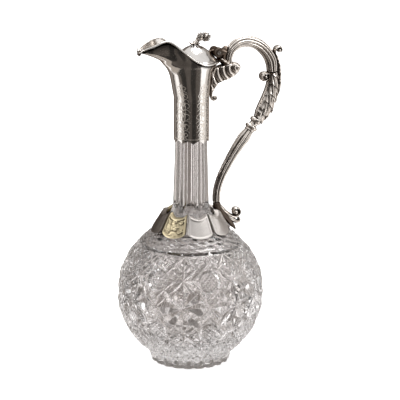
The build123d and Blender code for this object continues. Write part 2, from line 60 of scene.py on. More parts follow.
# ------------------------------------------------------------------ what a user would change
class JUG_PG_glass(bpy.types.PropertyGroup):
    globe: size("Globe", "Radius of the globe in mm", 65.9)
    globe_z: size("Globe height", "Height of the globe's centre in mm", 63.96)
    foot: size("Foot", "Radius of the foot in mm", 35.0)
    waist: size("Waist", "Radius where the foot meets the globe in mm", 38.0)
    neck: size("Neck", "Radius of the neck over its corners in mm", 14.5)
    root: size("Neck root", "Radius of the neck's root over its corners in mm", 16.2)
    fillet: size("Neck fillet", "Radius of the sweep from neck to globe in mm", 30.0)
    top: size("Neck top", "Height of the neck's end in mm", 257.9)
    wall: size("Wall", "Thickness of the globe's wall in mm", 10.0)
    bore: size("Bore", "Radius of the bore in mm", 9.5)
    star_depth: size("Star depth", "Depth of the large stars' petals in mm", 3.6)
    star_turn: size("Star azimuth", "Degrees from the handle to the first star", 14.0)
    stars: IntProperty(name="Stars", description="Large stars round the globe", default=8, min=4)
    colour: colour("Glass", "Lead crystal seen through", "#e9e6e5")


class JUG_PG_mount(bpy.types.PropertyGroup):
    sleeve: size("Sleeve", "Radius of the sleeve in mm", 15.7)
    bottom: size("Sleeve bottom", "Height of the sleeve's scalloped edge in mm", 202.3)
    sheet: size("Sheet", "Thickness of the silver sheet in mm", 0.8)
    rim: size("Rim wire", "Radius of the rim's wire in mm", 1.0)
    apex: size("Lid top", "Height of the lid's top in mm", 288.8)
    edge: size("Lid edge", "Height of the lid's edge in mm", 272.5)
    silver: colour("Silver", "Polished silver", "#dedad6")
    # this colour is also the painted shade on silver turned to the jug or downwards
    tarnish_and_shade: colour("Tarnish", "Sulphide left in the hollows of silver", "#3f3026")
    gilt: colour("Gilding", "Gold wash on silver", "#c9bc9d")


class JUG_PG_stage(bpy.types.PropertyGroup):
    paper: colour("Backdrop", "White background paper", "#ffffff")
    distance: size("Camera distance", "Camera to object in mm", 2500.0)
    azimuth: FloatProperty(name="Azimuth", description="Camera azimuth in degrees", default=-25.0)
    elevation: FloatProperty(name="Elevation", description="Camera elevation in degrees", default=15.2)


# ------------------------------------------------------------------ numbers
def linear(code):
    """sRGB hex to linear colour."""
    parts = [int(code[i : i + 2], 16) / 255 for i in (1, 3, 5)]
    return [c / 12.92 if c <= 0.04045 else ((c + 0.055) / 1.055) ** 2.4 for c in parts] + [1.0]


def hermite(u, span, first, last, slope_in, slope_out):
    """Values at shares u of a span, between its end values and with the slopes there."""
    return (
        (1 + 2 * u) * (1 - u) ** 2 * first
        + u * (1 - u) ** 2 * span * slope_in
        + u**2 * (3 - 2 * u) * last
        + u**2 * (u - 1) * span * slope_out
    )


def spline(points, at, start=None, end=None):
    """Points and directions at shares of the way along a smooth curve through points."""
    p = np.array(points, float)
    t = np.concatenate([[0], np.cumsum(np.linalg.norm(np.diff(p, axis=0), axis=1))])
    n = len(p)
    h = np.diff(t)
    slope = np.diff(p, axis=0) / h[:, None]
    a = np.zeros((n, n))
    b = np.zeros_like(p)
    for i in range(1, n - 1):
        a[i, i - 1 : i + 2] = h[i], 2 * (h[i - 1] + h[i]), h[i - 1]
        b[i] = 3 * (h[i] * slope[i - 1] + h[i - 1] * slope[i])
    for row, near, way, given in ((0, 1, slope[0], start), (n - 1, n - 2, slope[-1], end)):
        a[row, row] = 1
        if given is None:
            a[row, row], a[row, near] = 2, 1
            b[row] = 3 * way
        else:
            b[row] = np.array(given, float) / np.linalg.norm(given)
    m = np.linalg.solve(a, b)
    x = np.asarray(at, float) * t[-1]
    k = np.clip(np.searchsorted(t, x, side="right") - 1, 0, n - 2)
    u = ((x - t[k]) / h[k])[:, None]
    span = h[k][:, None]
    spot = hermite(u, span, p[k], p[k + 1], m[k], m[k + 1])
    way = (
        (6 * u**2 - 6 * u) / span * (p[k] - p[k + 1])
        + (3 * u**2 - 4 * u + 1) * m[k]
        + (3 * u**2 - 2 * u) * m[k + 1]
    )
    return spot, way / np.linalg.norm(way, axis=1)[:, None]


def smooth(values, at):
    """Smooth values between evenly spaced ones."""
    v = np.array(values, float)
    spot = np.clip(np.asarray(at, float), 0, 1) * (len(v) - 1)
    k = np.clip(spot.astype(int), 0, len(v) - 2)
    u = spot - k
    return v[k] + (v[k + 1] - v[k]) * (u * u * (3 - 2 * u))


def triangle(x):
    """Wave of straight flanks, 0 at whole numbers and 1 halfway."""
    return 1 - np.abs(2 * (x - np.floor(x)) - 1)


def bell(distance, width):
    """1 at no distance, falling smoothly to nothing over a few widths."""
    return np.exp(-((distance / width) ** 2))


def circle(count):
    """Angles evenly round a full turn."""
    return np.linspace(0, 2 * pi, count, endpoint=False)


def round_axis(radius, turn, height):
    """Points at radii, turns and heights round the jug's axis."""
    return np.stack(np.broadcast_arrays(radius * np.cos(turn), radius * np.sin(turn), height), -1)


# ------------------------------------------------------------------ meshes
def wrap_faces(rows, cols, close_rows=False, close_cols=True):
    """Quads between rows and columns of points."""
    i = np.arange(rows if close_rows else rows - 1)[:, None]
    j = np.arange(cols if close_cols else cols - 1)[None, :]
    i2, j2 = (i + 1) % rows, (j + 1) % cols
    return np.stack([i * cols + j, i * cols + j2, i2 * cols + j2, i2 * cols + j], -1).reshape(-1, 4)


def skin(points, ends=True, **close):
    """Vertices and faces of a skin over rows of points, facing outwards, in mm."""
    rows, cols = points.shape[:2]
    verts = points.reshape(-1, 3)
    faces = wrap_faces(rows, cols, **close)
    caps = []
    if ends:
        caps = [list(range(cols))[::-1], list(range((rows - 1) * cols, rows * cols))]
    a, b, c, d = (verts[faces[:, k]] for k in range(4))
    volume = np.einsum("ij,ij->i", a, np.cross(b, c)).sum() + np.einsum("ij,ij->i", a, np.cross(c, d)).sum()
    for cap in caps:
        p = verts[cap]
        volume += sum(np.dot(p[0], np.cross(p[k], p[k + 1])) for k in range(1, len(cap) - 1))
    faces = faces.tolist() + caps
    if volume < 0:
        faces = [f[::-1] for f in faces]
    return verts, faces


def piece(name, skins, material, body, replaces, sharp, engraving_and_painted_shade=None):
    """One object from skins in mm. Edges past this many degrees stay sharp."""
    verts, faces, start = [], [], 0
    for v, f in skins:
        verts.append(v)
        faces += [[k + start for k in face] for face in f]
        start += len(v)
    mesh = bpy.data.meshes.new(name)
    mesh.from_pydata((np.concatenate(verts) * MM).tolist(), [], faces)
    mesh.validate()
    mesh.polygons.foreach_set("use_smooth", [True] * len(mesh.polygons))
    mesh.set_sharp_from_angle(angle=radians(sharp))
    if engraving_and_painted_shade is not None:
        layer = mesh.attributes.new("engraving_and_painted_shade", "FLOAT", "POINT")
        layer.data.foreach_set("value", engraving_and_painted_shade.astype(np.float32))
    mesh.materials.append(material)
    obj = bpy.data.objects.new(name, mesh)
    bpy.context.scene.collection.objects.link(obj)
    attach(obj, body)
    if replaces:
        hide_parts(*replaces)
    return obj


def sweep(route, thick, wide, relief=None, rows=120, cols=72, start=None, end=None, round_ends=0.0):
    """Skin of a bar along a route in the XZ plane. Relief multiplies its radius by share and turn,
    where turn 0 is the side away from the jug."""
    share = np.linspace(0, 1, rows)
    spot, way = spline(route, share, start, end)
    side = np.stack([-way[:, 1], way[:, 0]], 1)
    turn = circle(cols)[None, :]
    s = share[:, None]
    r = np.ones((rows, cols)) if relief is None else relief(s, turn)
    if round_ends:
        near = np.minimum(s, 1 - s) / round_ends
        r = r * np.sqrt(np.clip(1 - (1 - np.clip(near, 0, 1)) ** 2, 0.002, 1))
    a = smooth(thick, s) * r * np.cos(turn)
    b = smooth(wide, s) * r * np.sin(turn)
    x = spot[:, :1] + side[:, :1] * a
    z = spot[:, 1:] + side[:, 1:] * a
    return skin(np.stack([x, b, z], -1))


def turned(profile, cols, centre, axis=(0, 0, 1)):
    """Skin turned from (radius, height) pairs about an axis through a centre."""
    p = np.array(profile, float)
    local = round_axis(np.maximum(p[:, :1], 0.01), circle(cols), p[:, 1:])
    turn = np.array(Vector((0, 0, 1)).rotation_difference(Vector(axis)).to_matrix())
    return skin(local @ turn.T + np.array(centre))


def rounded(profile, count):
    """A smooth profile through (radius, height) pairs."""
    return spline(profile, np.linspace(0, 1, count))[0]


def ball(radius, centre, stretch, axis=(0, 1, 0)):
    """A ball, its length along the axis this many times its width."""
    t = np.linspace(-pi / 2, pi / 2, 24)
    return turned(np.stack([radius * np.cos(t), radius * stretch * np.sin(t)], 1), 40, centre, axis)


def along_loop(line):
    """Unit directions along a closed line."""
    way = np.roll(line, -1, 0) - np.roll(line, 1, 0)
    return way / np.linalg.norm(way, axis=1)[:, None]


def loop_wire(line, out, up, wide, tall, cols):
    """Skin of a wire along a closed line, from its half width outwards and its half height."""
    ring = circle(cols)[None, :, None]
    section = out[:, None] * np.cos(ring) * wide + up[:, None] * np.sin(ring) * tall
    return skin(line[:, None] + section, ends=False, close_rows=True)


def sheet_metal(outer, inner):
    """Skin of a ring of sheet between its outer and inner face."""
    return skin(np.concatenate([outer, inner[::-1]]), ends=False, close_rows=True)


def slab(front, back):
    """Skin of a patch between its front and back face."""
    return skin(np.concatenate([front, back[:, ::-1]], 1))


# ------------------------------------------------------------------ materials
def add(tree, kind, links=None, **settings):
    """Add a node with its settings, socket values and links."""
    node = tree.nodes.new(kind)
    for key, value in settings.items():
        setattr(node, key, value)
    for key, value in (links or {}).items():
        socket = node.inputs[key]
        if isinstance(value, bpy.types.NodeSocket):
            tree.links.new(value, socket)
        else:
            socket.default_value = value
    return node


def shader(name, **sockets):
    material = bpy.data.materials.new(name)
    material.use_nodes = True
    tree = material.node_tree
    tree.nodes.clear()
    surface = add(tree, "ShaderNodeBsdfPrincipled", sockets)
    add(tree, "ShaderNodeOutputMaterial", {"Surface": surface.outputs["BSDF"]})
    return material, tree, surface


def grain(tree, per_mm, detail, rough):
    """Noise with this many grains to a millimetre of the object."""
    place = add(tree, "ShaderNodeTexCoord").outputs["Object"]
    values = {"Vector": place, "Scale": per_mm / MM, "Detail": detail, "Roughness": rough}
    return add(tree, "ShaderNodeTexNoise", values).outputs["Fac"]


def spread(value, low, high, to_low, to_high):
    """Sockets that map a value from one range to another."""
    return {"Value": value, "From Min": low, "From Max": high, "To Min": to_low, "To Max": to_high}


def silver(name, rough, tone=None, *, hollows, reach=2.2, painted_shade=0.0):
    """Silver: old polish leaves grey-brown sulphide in the hollows and a soft bloom of fine
    scratches, so ridges are bright and valleys nearly black. What is turned to the jug or
    downwards is painted darker, as painted shade."""
    mount = bpy.context.scene.jug_mount
    material, tree, surface = shader(name, Metallic=1.0, Roughness=rough)
    surface.inputs["Specular Tint"].default_value = linear("#a89d93")
    bright, tarnish_and_shade_tone = linear(tone or mount.silver), linear(mount.tarnish_and_shade)
    ao = add(tree, "ShaderNodeAmbientOcclusion", {"Distance": reach * MM}, samples=6)
    cloud = grain(tree, 0.06, 4.0, 0.6)
    hollow = add(tree, "ShaderNodeMapRange", spread(ao.outputs["AO"], 0.35, 0.9, hollows, 0.0))
    bloom = add(tree, "ShaderNodeMapRange", spread(cloud, 0.4, 0.75, 0.0, 0.22))
    sum_of = {0: hollow.outputs[0], 1: bloom.outputs[0]}
    total = add(tree, "ShaderNodeMath", sum_of, operation="ADD", use_clamp=True)
    # painted shade: sides whose normals face the jug or downwards are mixed towards the tarnish colour
    if painted_shade:
        place = add(tree, "ShaderNodeTexCoord")
        inwards = {0: place.outputs["Normal"], 1: (-0.8, 0.0, -0.6)}
        facing = add(tree, "ShaderNodeVectorMath", inwards, operation="DOT_PRODUCT")
        side = add(tree, "ShaderNodeMapRange", spread(facing.outputs["Value"], 0.05, 0.85, 0.0, painted_shade))
        sum_of = {0: total.outputs[0], 1: side.outputs[0]}
        total = add(tree, "ShaderNodeMath", sum_of, operation="ADD", use_clamp=True)
    # the dark end of this mix is tarnish in the hollows and painted shade on the sides
    mix = add(tree, "ShaderNodeMix", {0: total.outputs[0], 6: bright, 7: tarnish_and_shade_tone}, data_type="RGBA")
    tree.links.new(mix.outputs[2], surface.inputs["Base Color"])
    scratch = grain(tree, 1.2, 2.0, 0.6)
    matt = add(tree, "ShaderNodeMapRange", spread(scratch, 0.3, 0.7, rough * 0.7, rough * 1.35))
    duller = {0: hollow.outputs[0], 1: 0.35, 2: matt.outputs[0]}
    dim = add(tree, "ShaderNodeMath", duller, operation="MULTIPLY_ADD")
    tree.links.new(dim.outputs[0], surface.inputs["Roughness"])
    dents = {"Height": grain(tree, 0.25, 2.0, 0.5), "Strength": 0.06, "Distance": 0.15 * MM}
    bump = add(tree, "ShaderNodeBump", dents)
    tree.links.new(bump.outputs["Normal"], surface.inputs["Normal"])
    return material, tree, surface, mix, bump


def polished_silver():
    # sheet raised with the hammer, planished and buffed: the brightest silver on the jug
    name = "silver, raised and polished"
    return bpy.data.materials.get(name) or silver(name, 0.13, hollows=0.55)[0]


def cast_silver():
    # cast silver keeps a softer skin than sheet, with darker hollows between reeds and leaves, and painted
    # shade on sides turned to the jug or downwards
    name = "silver, cast and chased"
    made = bpy.data.materials.get(name)
    return made or silver(name, 0.2, "#e2dad2", hollows=0.95, reach=2.8, painted_shade=0.5)[0]


def dark_toned_silver():
    # silver coloured dark brown-grey all over, for the hinge, the spout's tip and the foot strap, with
    # painted shade on sides turned to the jug or downwards
    name = "silver, cast and left dark"
    made = bpy.data.materials.get(name)
    return made or silver(name, 0.3, "#6a5f56", hollows=1.0, reach=3.0, painted_shade=0.6)[0]


def engraved_silver():
    # bright-cut lines: the graver's facets catch the light beside the dark polish of the sheet
    material, tree, surface, mix, _bump = silver("silver, polished and engraved", 0.13, hollows=0.5)
    engraving_and_painted_shade = add(tree, "ShaderNodeAttribute", attribute_name="engraving_and_painted_shade").outputs["Fac"]
    pale = {0: engraving_and_painted_shade, 6: mix.outputs[2], 7: linear("#e2dad0")}
    cut = add(tree, "ShaderNodeMix", pale, data_type="RGBA")
    # below zero the values are painted shade, near-black under the rim's wire and beneath the spout
    under = add(tree, "ShaderNodeMapRange", spread(engraving_and_painted_shade, 0.0, -1.0, 0.0, 1.0))
    dark = {0: under.outputs[0], 6: cut.outputs[2], 7: linear("#15110e")}
    shade = add(tree, "ShaderNodeMix", dark, data_type="RGBA")
    tree.links.new(shade.outputs[2], surface.inputs["Base Color"])
    polish = surface.inputs["Roughness"].links[0].from_socket
    frost = add(tree, "ShaderNodeMix", {0: engraving_and_painted_shade, 2: polish, 3: 0.62})
    tree.links.new(frost.outputs[0], surface.inputs["Roughness"])
    return material


def hatched_silver(name, tone):
    # engraved cross-hatching leaves a frosted ground that scatters light
    material, tree, surface, _mix, bump = silver(name, 0.36, tone, hollows=1.0, reach=1.6)
    place = add(tree, "ShaderNodeTexCoord").outputs["Object"]
    across = {"Vector": place, "Scale": 320.0, "Distortion": 1.5}
    lines = add(tree, "ShaderNodeTexWave", across, bands_direction="DIAGONAL").outputs["Fac"]
    over = {"Height": lines, "Strength": 0.5, "Distance": 0.2 * MM, "Normal": bump.outputs["Normal"]}
    fine = add(tree, "ShaderNodeBump", over)
    tree.links.new(fine.outputs["Normal"], surface.inputs["Normal"])
    return material


def lead_crystal(name, clear, clouded):
    glass = bpy.context.scene.jug_glass
    material, tree, surface = shader(name, Roughness=clear, IOR=1.54)
    surface.inputs["Base Color"].default_value = linear(glass.colour)
    surface.inputs["Transmission Weight"].default_value = 1.0
    film = grain(tree, 0.15, 3.0, 0.5)
    haze = add(tree, "ShaderNodeMapRange", spread(film, 0.35, 0.75, clear, clouded))
    tree.links.new(haze.outputs[0], surface.inputs["Roughness"])
    return material


def cut_crystal():
    # lead crystal, wheel cut and acid polished: high index, so each facet shows a different part
    # of the room, with a faint grey from the lead
    return lead_crystal("lead crystal, wheel-cut and polished", 0.0, 0.03)


def clouded_crystal():
    # inside, a century of wine and water leaves a thin bloom that softens what shows through
    return lead_crystal("lead crystal, blown, clouded inside", 0.03, 0.12)


def plaster():
    # set plaster between glass and metal: matt, off-white and finely pitted
    material, tree, surface = shader("plaster, set", Roughness=0.9)
    tones = {0: grain(tree, 1.5, 3.0, 0.6), 6: linear("#b9b4aa"), 7: linear("#e2ddd2")}
    shade = add(tree, "ShaderNodeMix", tones, data_type="RGBA")
    tree.links.new(shade.outputs[2], surface.inputs["Base Color"])
    return material


def coat(material, *nodes):
    """Give nodes of the frame, shown as they are, a material."""
    for node in nodes:
        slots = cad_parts[node].data.materials
        slots.clear()
        slots.append(material)


# ------------------------------------------------------------------ glass
# cuts of the globe, in mm and in degrees up from its middle
ROWS_LIFT = 1.6
DIAMONDS = dict(count=48, depth=1.5, height=0.55, below=31.0, blend=1.5, faint=0.22)
CUSHIONS = dict(count=12, depth=1.5, shape=0.6, star=22.0, star_fade=4.0, button=9.0, button_fade=2.0)
BUTTON = dict(lat=21.0, radius=7.6, depth=2.0, stud=1.7, pitch=2.9)
BUTTON_RING = dict(radius=8.3, depth=3.1, slope=1.3)
PETAL = dict(straight=26.0, slanting=24.0, slope=0.56)
# where straight mitres cross: half steps round from a star, degrees up, and depth
MITRES = ((1, 0, 1.9), (0, 22, 2.3), (0, -22, 2.3), (0, 43, 2.9), (0, -43, 2.9), (1, 42, 1.8))
MITRE_HALF_ANGLE = 60.0
# farther out than any surface, where a cut doesn't reach
UNCUT = 1e9
# points round the outside, then the shoulder's ring groove, the foot's flutes, the star under the
# foot, the neck's corners and the hollow's fillet, in mm
GLASS_COLS = 1024
RING = dict(height=46.44, half=1.5, depth=1.5)
SHOULDER_SET_BACK = 0.3
FLUTES = dict(count=20, depth=2.9)
BASE_STAR = dict(rays=16, depth=0.35)
CORNER_DULLED = 0.3
NECK_END = 203.5
INNER_FILLET = 14.0


def glass_profiles(g):
    """Centre of the neck's fillet and its end on the globe, at the corners and at the slices, and
    the share of the corners' radius that the slices have."""
    share = cos(pi / 6)

    def sweep_out(neck):
        x = neck + g.fillet
        z = g.globe_z + sqrt((g.globe + g.fillet) ** 2 - x**2)
        k = g.globe / (g.globe + g.fillet)
        return (x, z), (x * k, g.globe_z + (z - g.globe_z) * k)

    return sweep_out(g.root - CORNER_DULLED), sweep_out(g.root * share), share


def cut_globe(g, azimuth, lat):
    """Distance of the cut surface from the globe's centre, over a grid of directions."""
    az = azimuth[None, :] * np.ones_like(lat[:, None])
    la = (lat[:, None] - radians(ROWS_LIFT)) * np.ones_like(azimuth[None, :])
    d = np.stack([np.cos(la) * np.cos(az), np.cos(la) * np.sin(az), np.sin(la)], -1)
    round_from = az - radians(g.star_turn)
    rise = np.log(np.tan(la / 2 + pi / 4))
    # crossed rows of diamonds: deep below the stars, faint elsewhere
    lattice = np.full(az.shape, g.globe)
    pitch = 2 * pi * g.globe * np.cos(la) / DIAMONDS["count"] / sqrt(2)
    for way in (1, -1):
        wave = triangle((round_from + way * rise) * DIAMONDS["count"] / (2 * pi))
        lattice = np.minimum(lattice, g.globe - DIAMONDS["depth"] + DIAMONDS["height"] * wave * pitch)
    lattice = lattice - g.globe
    field = np.clip((-la - radians(DIAMONDS["below"])) / radians(DIAMONDS["blend"]), 0, 1)
    out = g.globe + lattice * field + lattice * DIAMONDS["faint"] * (1 - field)
    # broad cushions between crossing mitres make the outline knobbly
    step = 2 * pi / g.stars
    lap, climb = CUSHIONS["count"] * round_from, CUSHIONS["count"] * rise
    ridge = np.minimum(np.abs(np.sin(lap + climb)), np.abs(np.sin(lap - climb)))
    across = (round_from + step / 2) % step - step / 2
    beside = round_from % step - step / 2
    from_star = g.globe * np.hypot(across * np.cos(la), la)
    from_button = g.globe * np.hypot(beside * np.cos(la), np.abs(la) - radians(BUTTON["lat"]))
    clear = np.clip((from_star - CUSHIONS["star"]) / CUSHIONS["star_fade"], 0, 1)
    clear = clear * np.clip((from_button - CUSHIONS["button"]) / CUSHIONS["button_fade"], 0, 1)
    out = out - CUSHIONS["depth"] * (1 - ridge ** CUSHIONS["shape"]) * clear

    def centre(spot_az, spot_lat):
        c = np.array([cos(spot_lat) * cos(spot_az), cos(spot_lat) * sin(spot_az), sin(spot_lat)])
        east = np.array([-sin(spot_az), cos(spot_az), 0])
        return c, east, np.cross(c, east)

    def mitre(spot, turn, depth):
        """The flanks of a straight V, its edge this deep under the spot."""
        c, east, north = spot
        w = cos(turn) * north - sin(turn) * east
        h = radians(MITRE_HALF_ANGLE)
        down = sin(h) * (d @ c) - cos(h) * np.abs(d @ w)
        flank = (g.globe - depth) * sin(h) / np.where(down > 0.05, down, 0.05)
        return np.where((d @ c) > 0.6, flank, UNCUT)

    def petal(spot, turn, depth, long):
        """A leaf-shaped V cut from the spot outwards, deepest halfway."""
        c, east, north = spot
        w, across = cos(turn) * north - sin(turn) * east, cos(turn) * east + sin(turn) * north
        t = g.globe * np.arcsin(np.clip(d @ w, -1, 1)) / long
        inside = (t > 0) & (t < 1) & ((d @ c) > 0.6)
        floor = g.globe - depth * np.sin(pi * np.clip(t, 0, 1)) ** 0.8
        return np.where(inside, floor + PETAL["slope"] * g.globe * np.abs(d @ across), UNCUT)

    def button(spot):
        """A round button covered in small diamonds, with a groove round it."""
        c, east, north = spot
        away = g.globe * np.arccos(np.clip(d @ c, -1, 1))
        u = g.globe * (d @ (east + north)) / sqrt(2)
        v = g.globe * (d @ (east - north)) / sqrt(2)
        studs = np.minimum(triangle(u / BUTTON["pitch"]), triangle(v / BUTTON["pitch"]))
        studs = g.globe - BUTTON["depth"] + BUTTON["stud"] * studs
        groove = g.globe - BUTTON_RING["depth"]
        groove = groove + BUTTON_RING["slope"] * np.abs(away - BUTTON_RING["radius"])
        return np.minimum(np.where(away < BUTTON["radius"], studs, g.globe), groove)

    for k in range(-1, 3):
        a = radians(g.star_turn) + step * k
        for turn in np.arange(8) * pi / 4:
            long = PETAL["straight"] if turn % (pi / 2) < 0.1 else PETAL["slanting"]
            out = np.minimum(out, petal(centre(a, 0), turn, g.star_depth, long))
        for side in (1, -1):
            out = np.minimum(out, button(centre(a + step / 2, radians(BUTTON["lat"]) * side)))
        for half_steps, spot_lat, depth in MITRES:
            for turn in (0, pi / 4, pi / 2, -pi / 4):
                spot = centre(a + half_steps * step / 2, radians(spot_lat))
                out = np.minimum(out, mitre(spot, turn, depth))
    return out


def globe_rows(g, azimuth, land):
    """Radii and heights of the cut globe, from the waist to where the neck lands on it."""
    low = -np.arccos((g.waist - 1.4) / g.globe)
    lat = np.linspace(low, np.arctan2(land[1] - g.globe_z, land[0]), 290)
    # one star's share of the globe is cut and repeated round
    sector = cut_globe(g, azimuth[: GLASS_COLS // g.stars], lat)
    rad = np.tile(sector, (1, g.stars))
    # plain dome over the ring groove, and the groove itself
    ring = np.arcsin(RING["height"] / g.globe)
    plain = 1 / (1 + np.exp(-(lat - ring) / radians(0.35)))[:, None]
    groove = np.clip(1 - np.abs(lat - ring) * g.globe / RING["half"], 0, 1)[:, None]
    # hand-cut crystal is never quite true: the plain shoulder ripples
    up = lat[:, None]
    ripple = 0.34 * np.sin(9 * azimuth + 44 * up) * np.sin(14 * azimuth - 37 * up)
    ripple = ripple + 0.2 * np.sin(23 * azimuth + 61 * up)
    shoulder = g.globe - SHOULDER_SET_BACK + ripple
    rad = rad * (1 - plain) + shoulder * plain - RING["depth"] * groove
    # the lowest rows stay whole where the foot begins
    whole = np.clip((lat - low) / radians(4), 0, 1)[:, None]
    rad = g.globe + (rad - g.globe) * whole
    return rad * np.cos(up), g.globe_z + rad * np.sin(up)


def foot_rows(g, azimuth):
    """Radii and heights of the foot: flutes with ridges between, narrower under the waist."""
    # radius, height and share of the flutes' depth, from the table up
    shape = np.array([
        (g.foot - 1.4, 0.0, 0.3),
        (g.foot - 0.1, 0.5, 0.9),
        (g.foot + 0.6, 3.0, 1.2),
        (g.foot + 1.2, 5.6, 1.0),
        (g.foot + 1.3, 7.6, 0.6),
        (g.waist - 1.6, 8.8, 0.3),
    ])
    up = np.linspace(0, 1, 26)[:, None]
    height = np.interp(up, np.linspace(0, 1, len(shape)), shape[:, 1])
    flute = triangle(azimuth * FLUTES["count"] / (2 * pi))[None, :]
    depth = FLUTES["depth"] * smooth(shape[:, 2], up)
    return smooth(shape[:, 0], up) - depth * (1 - flute), height * np.ones_like(flute)


def neck_rows(g, azimuth, corner, land):
    """Radii and heights of the turned neck, from the globe up the fillet to its top."""
    start = np.arctan2(land[1] - corner[1], land[0] - corner[0]) % (2 * pi)
    angle = np.linspace(start, pi, 60)[1:]
    z = corner[1] + g.fillet * np.sin(angle)
    r = corner[0] + g.fillet * np.cos(angle)
    end = g.neck - CORNER_DULLED
    z = np.concatenate([z, np.linspace(z[-1], NECK_END, 24)[1:], np.linspace(NECK_END, g.top, 6)[1:]])
    r = np.concatenate([r, np.linspace(r[-1], end, 24)[1:], np.full(5, end)])
    whole = np.ones((1, len(azimuth)))
    return r[:, None] * whole, z[:, None] * whole


def glass_outer(g):
    """Points of the outside, from under the foot to the top of the neck."""
    azimuth = circle(GLASS_COLS)
    (corner, land), (flat, flat_land), share = glass_profiles(g)
    parts = foot_rows(g, azimuth), globe_rows(g, azimuth, land), neck_rows(g, azimuth, corner, land)
    r, z = (np.concatenate(rows) for rows in zip(*parts))
    # six slices of the wheel make the neck a hexagon that sweeps out on to the globe
    span = (azimuth + pi / 6) % (pi / 3) - pi / 6
    on_fillet = np.clip(z, flat_land[1], flat[1])
    wheel = flat[0] - np.sqrt(np.clip(g.fillet**2 - (flat[1] - on_fillet) ** 2, 0, None))
    straight = np.interp(z, [flat[1], NECK_END], [g.root * share, g.neck * share])
    tangent = flat_land[0] + (flat_land[1] - z) * (flat_land[1] - g.globe_z) / flat_land[0]
    wheel = np.where(z > flat[1], straight, np.where(z < flat_land[1], tangent, wheel))
    on_shoulder = z > g.globe_z + 30
    r = np.where(on_shoulder, np.minimum(r, wheel / np.cos(span)[None, :]), r)
    return round_axis(r, azimuth, z)


def glass_base(g):
    """Points under the foot: a star cut inside the resting ring."""
    azimuth = circle(GLASS_COLS)
    rays = triangle(azimuth * BASE_STAR["rays"] / (2 * pi))[None, :]
    r = np.linspace(0.4, g.foot - 2.5, 30)[:, None]
    fade = np.clip((r - 4) / 2, 0, 1) * np.clip((g.foot - 4 - r) / 2, 0, 1)
    return round_axis(r, azimuth, BASE_STAR["depth"] * fade * np.clip(rays * 1.4 - 0.4, 0, 1))


def glass_hollow(g, cols):
    """Points of the smooth blown hollow, from its bottom up through the bore."""
    inner = g.globe - g.wall
    x = g.bore + INNER_FILLET
    z = g.globe_z + sqrt((inner + INNER_FILLET) ** 2 - x**2)
    meet = np.arctan2(z - g.globe_z, x)
    turn = np.linspace(-pi / 2 + 0.01, meet, 90)
    back = np.linspace(meet + pi, pi, 24)[1:]
    r = np.concatenate([inner * np.cos(turn), x + INNER_FILLET * np.cos(back), np.full(20, g.bore)])
    height = np.concatenate([
        g.globe_z + inner * np.sin(turn),
        z + INNER_FILLET * np.sin(back),
        np.linspace(z, g.top, 21)[1:],
    ])
    return round_axis(r[:, None], circle(cols), height[:, None])


class JUG_OT_glass(bpy.types.Operator):
    """Blow and cut the glass bottle"""

    bl_idname = "jug.glass"
    bl_label = "Glass bottle"

    def execute(self, context):
        g = context.scene.jug_glass
        # the hollow is smooth, so it has one point for every few of the outside
        few = 8
        inner_cols = GLASS_COLS // few
        shell = np.concatenate([glass_base(g), glass_outer(g)])
        outer_verts, outer_faces = skin(shell, ends=False)
        inner_verts, inner_faces = skin(glass_hollow(g, inner_cols), ends=False)
        start = len(outer_verts)
        inner_faces = [[k + start for k in face[::-1]] for face in inner_faces]
        # close the bottom, the hollow's bottom and the lip
        under = list(range(GLASS_COLS))[::-1]
        inner_bottom = [k + start for k in range(inner_cols)]
        top, lip = start - GLASS_COLS, start + len(inner_verts) - inner_cols
        lips = []
        for k in range(inner_cols):
            near = [top + (k * few + i) % GLASS_COLS for i in range(few + 1)]
            lips.append(near + [lip + (k + 1) % inner_cols, lip + k])
        points = np.concatenate([outer_verts, inner_verts])
        faces = outer_faces + [under] + inner_faces + [inner_bottom] + lips
        bottle = piece(
            "cut_glass_bottle", [(points, faces)], cut_crystal(), "jug", ["glass_body"], 50
        )
        bottle.data.materials.append(clouded_crystal())
        inside = np.zeros(len(faces), int)
        first = len(outer_faces) + 1
        inside[first : first + len(inner_faces) + 1] = 1
        bottle.data.polygons.foreach_set("material_index", inside)
        return {"FINISHED"}


# ------------------------------------------------------------------ neck mount
SPOUT_PLAN = [(0, 1), (0.13, 0.945), (0.27, 0.8), (0.46, 0.5), (0.84, 0.38), (1, 0)]
MOUTH = dict(flare=240.0, half=20.0, back=24.5, z=272.5, reach=51.2, under=286.0, crest=295.8, dip=274.2)


# shares of the height, of the way to the back, side and spout, and of the spout's full draw
BELOW_LID = (
    (0.25, 0.05, 0.12, 0.04, 0),
    (0.49, 0.13, 0.28, 0.08, 0),
    (0.68, 0.22, 0.45, 0.12, 0.03),
    (0.83, 0.4, 0.64, 0.18, 0.1),
    (0.93, 0.72, 0.8, 0.24, 0.17),
    (1, 1, 0.95, 0.3, 0.25),
)
ABOVE_LID = (
    (0.3, 1, 1.03, 0.4, 0.42),
    (0.55, 1, 1.07, 0.57, 0.62),
    (0.78, 1, 1.1, 0.78, 0.82),
    (1, 1, 1.12, 1, 1),
)
# engraved curls: height of the root, length, reach and the side they turn to, in mm
CURLS = (
    (206.6, 6, 3.2, 1), (209.5, 4, 1.5, -1), (213.2, 7, 4.2, 1), (217, 5, 1.9, -1),
    (221.5, 8, 4.8, 1), (227, 4, 1.4, 1), (231.5, 8, 4.4, 1), (236.5, 4, 1.6, -1),
    (241, 7, 3.6, 1), (246, 3.5, 1.3, -1), (249, 6, 2.6, 1),
)
STEMS = ((206.5, 221), (240, 256))
SHIELD = dict(z=230.5, half_width=2.6, half_height=8.6)
PANELS = 5
ENGRAVED = dict(low=203.0, high=262.0, rows=200, ends=258.0)


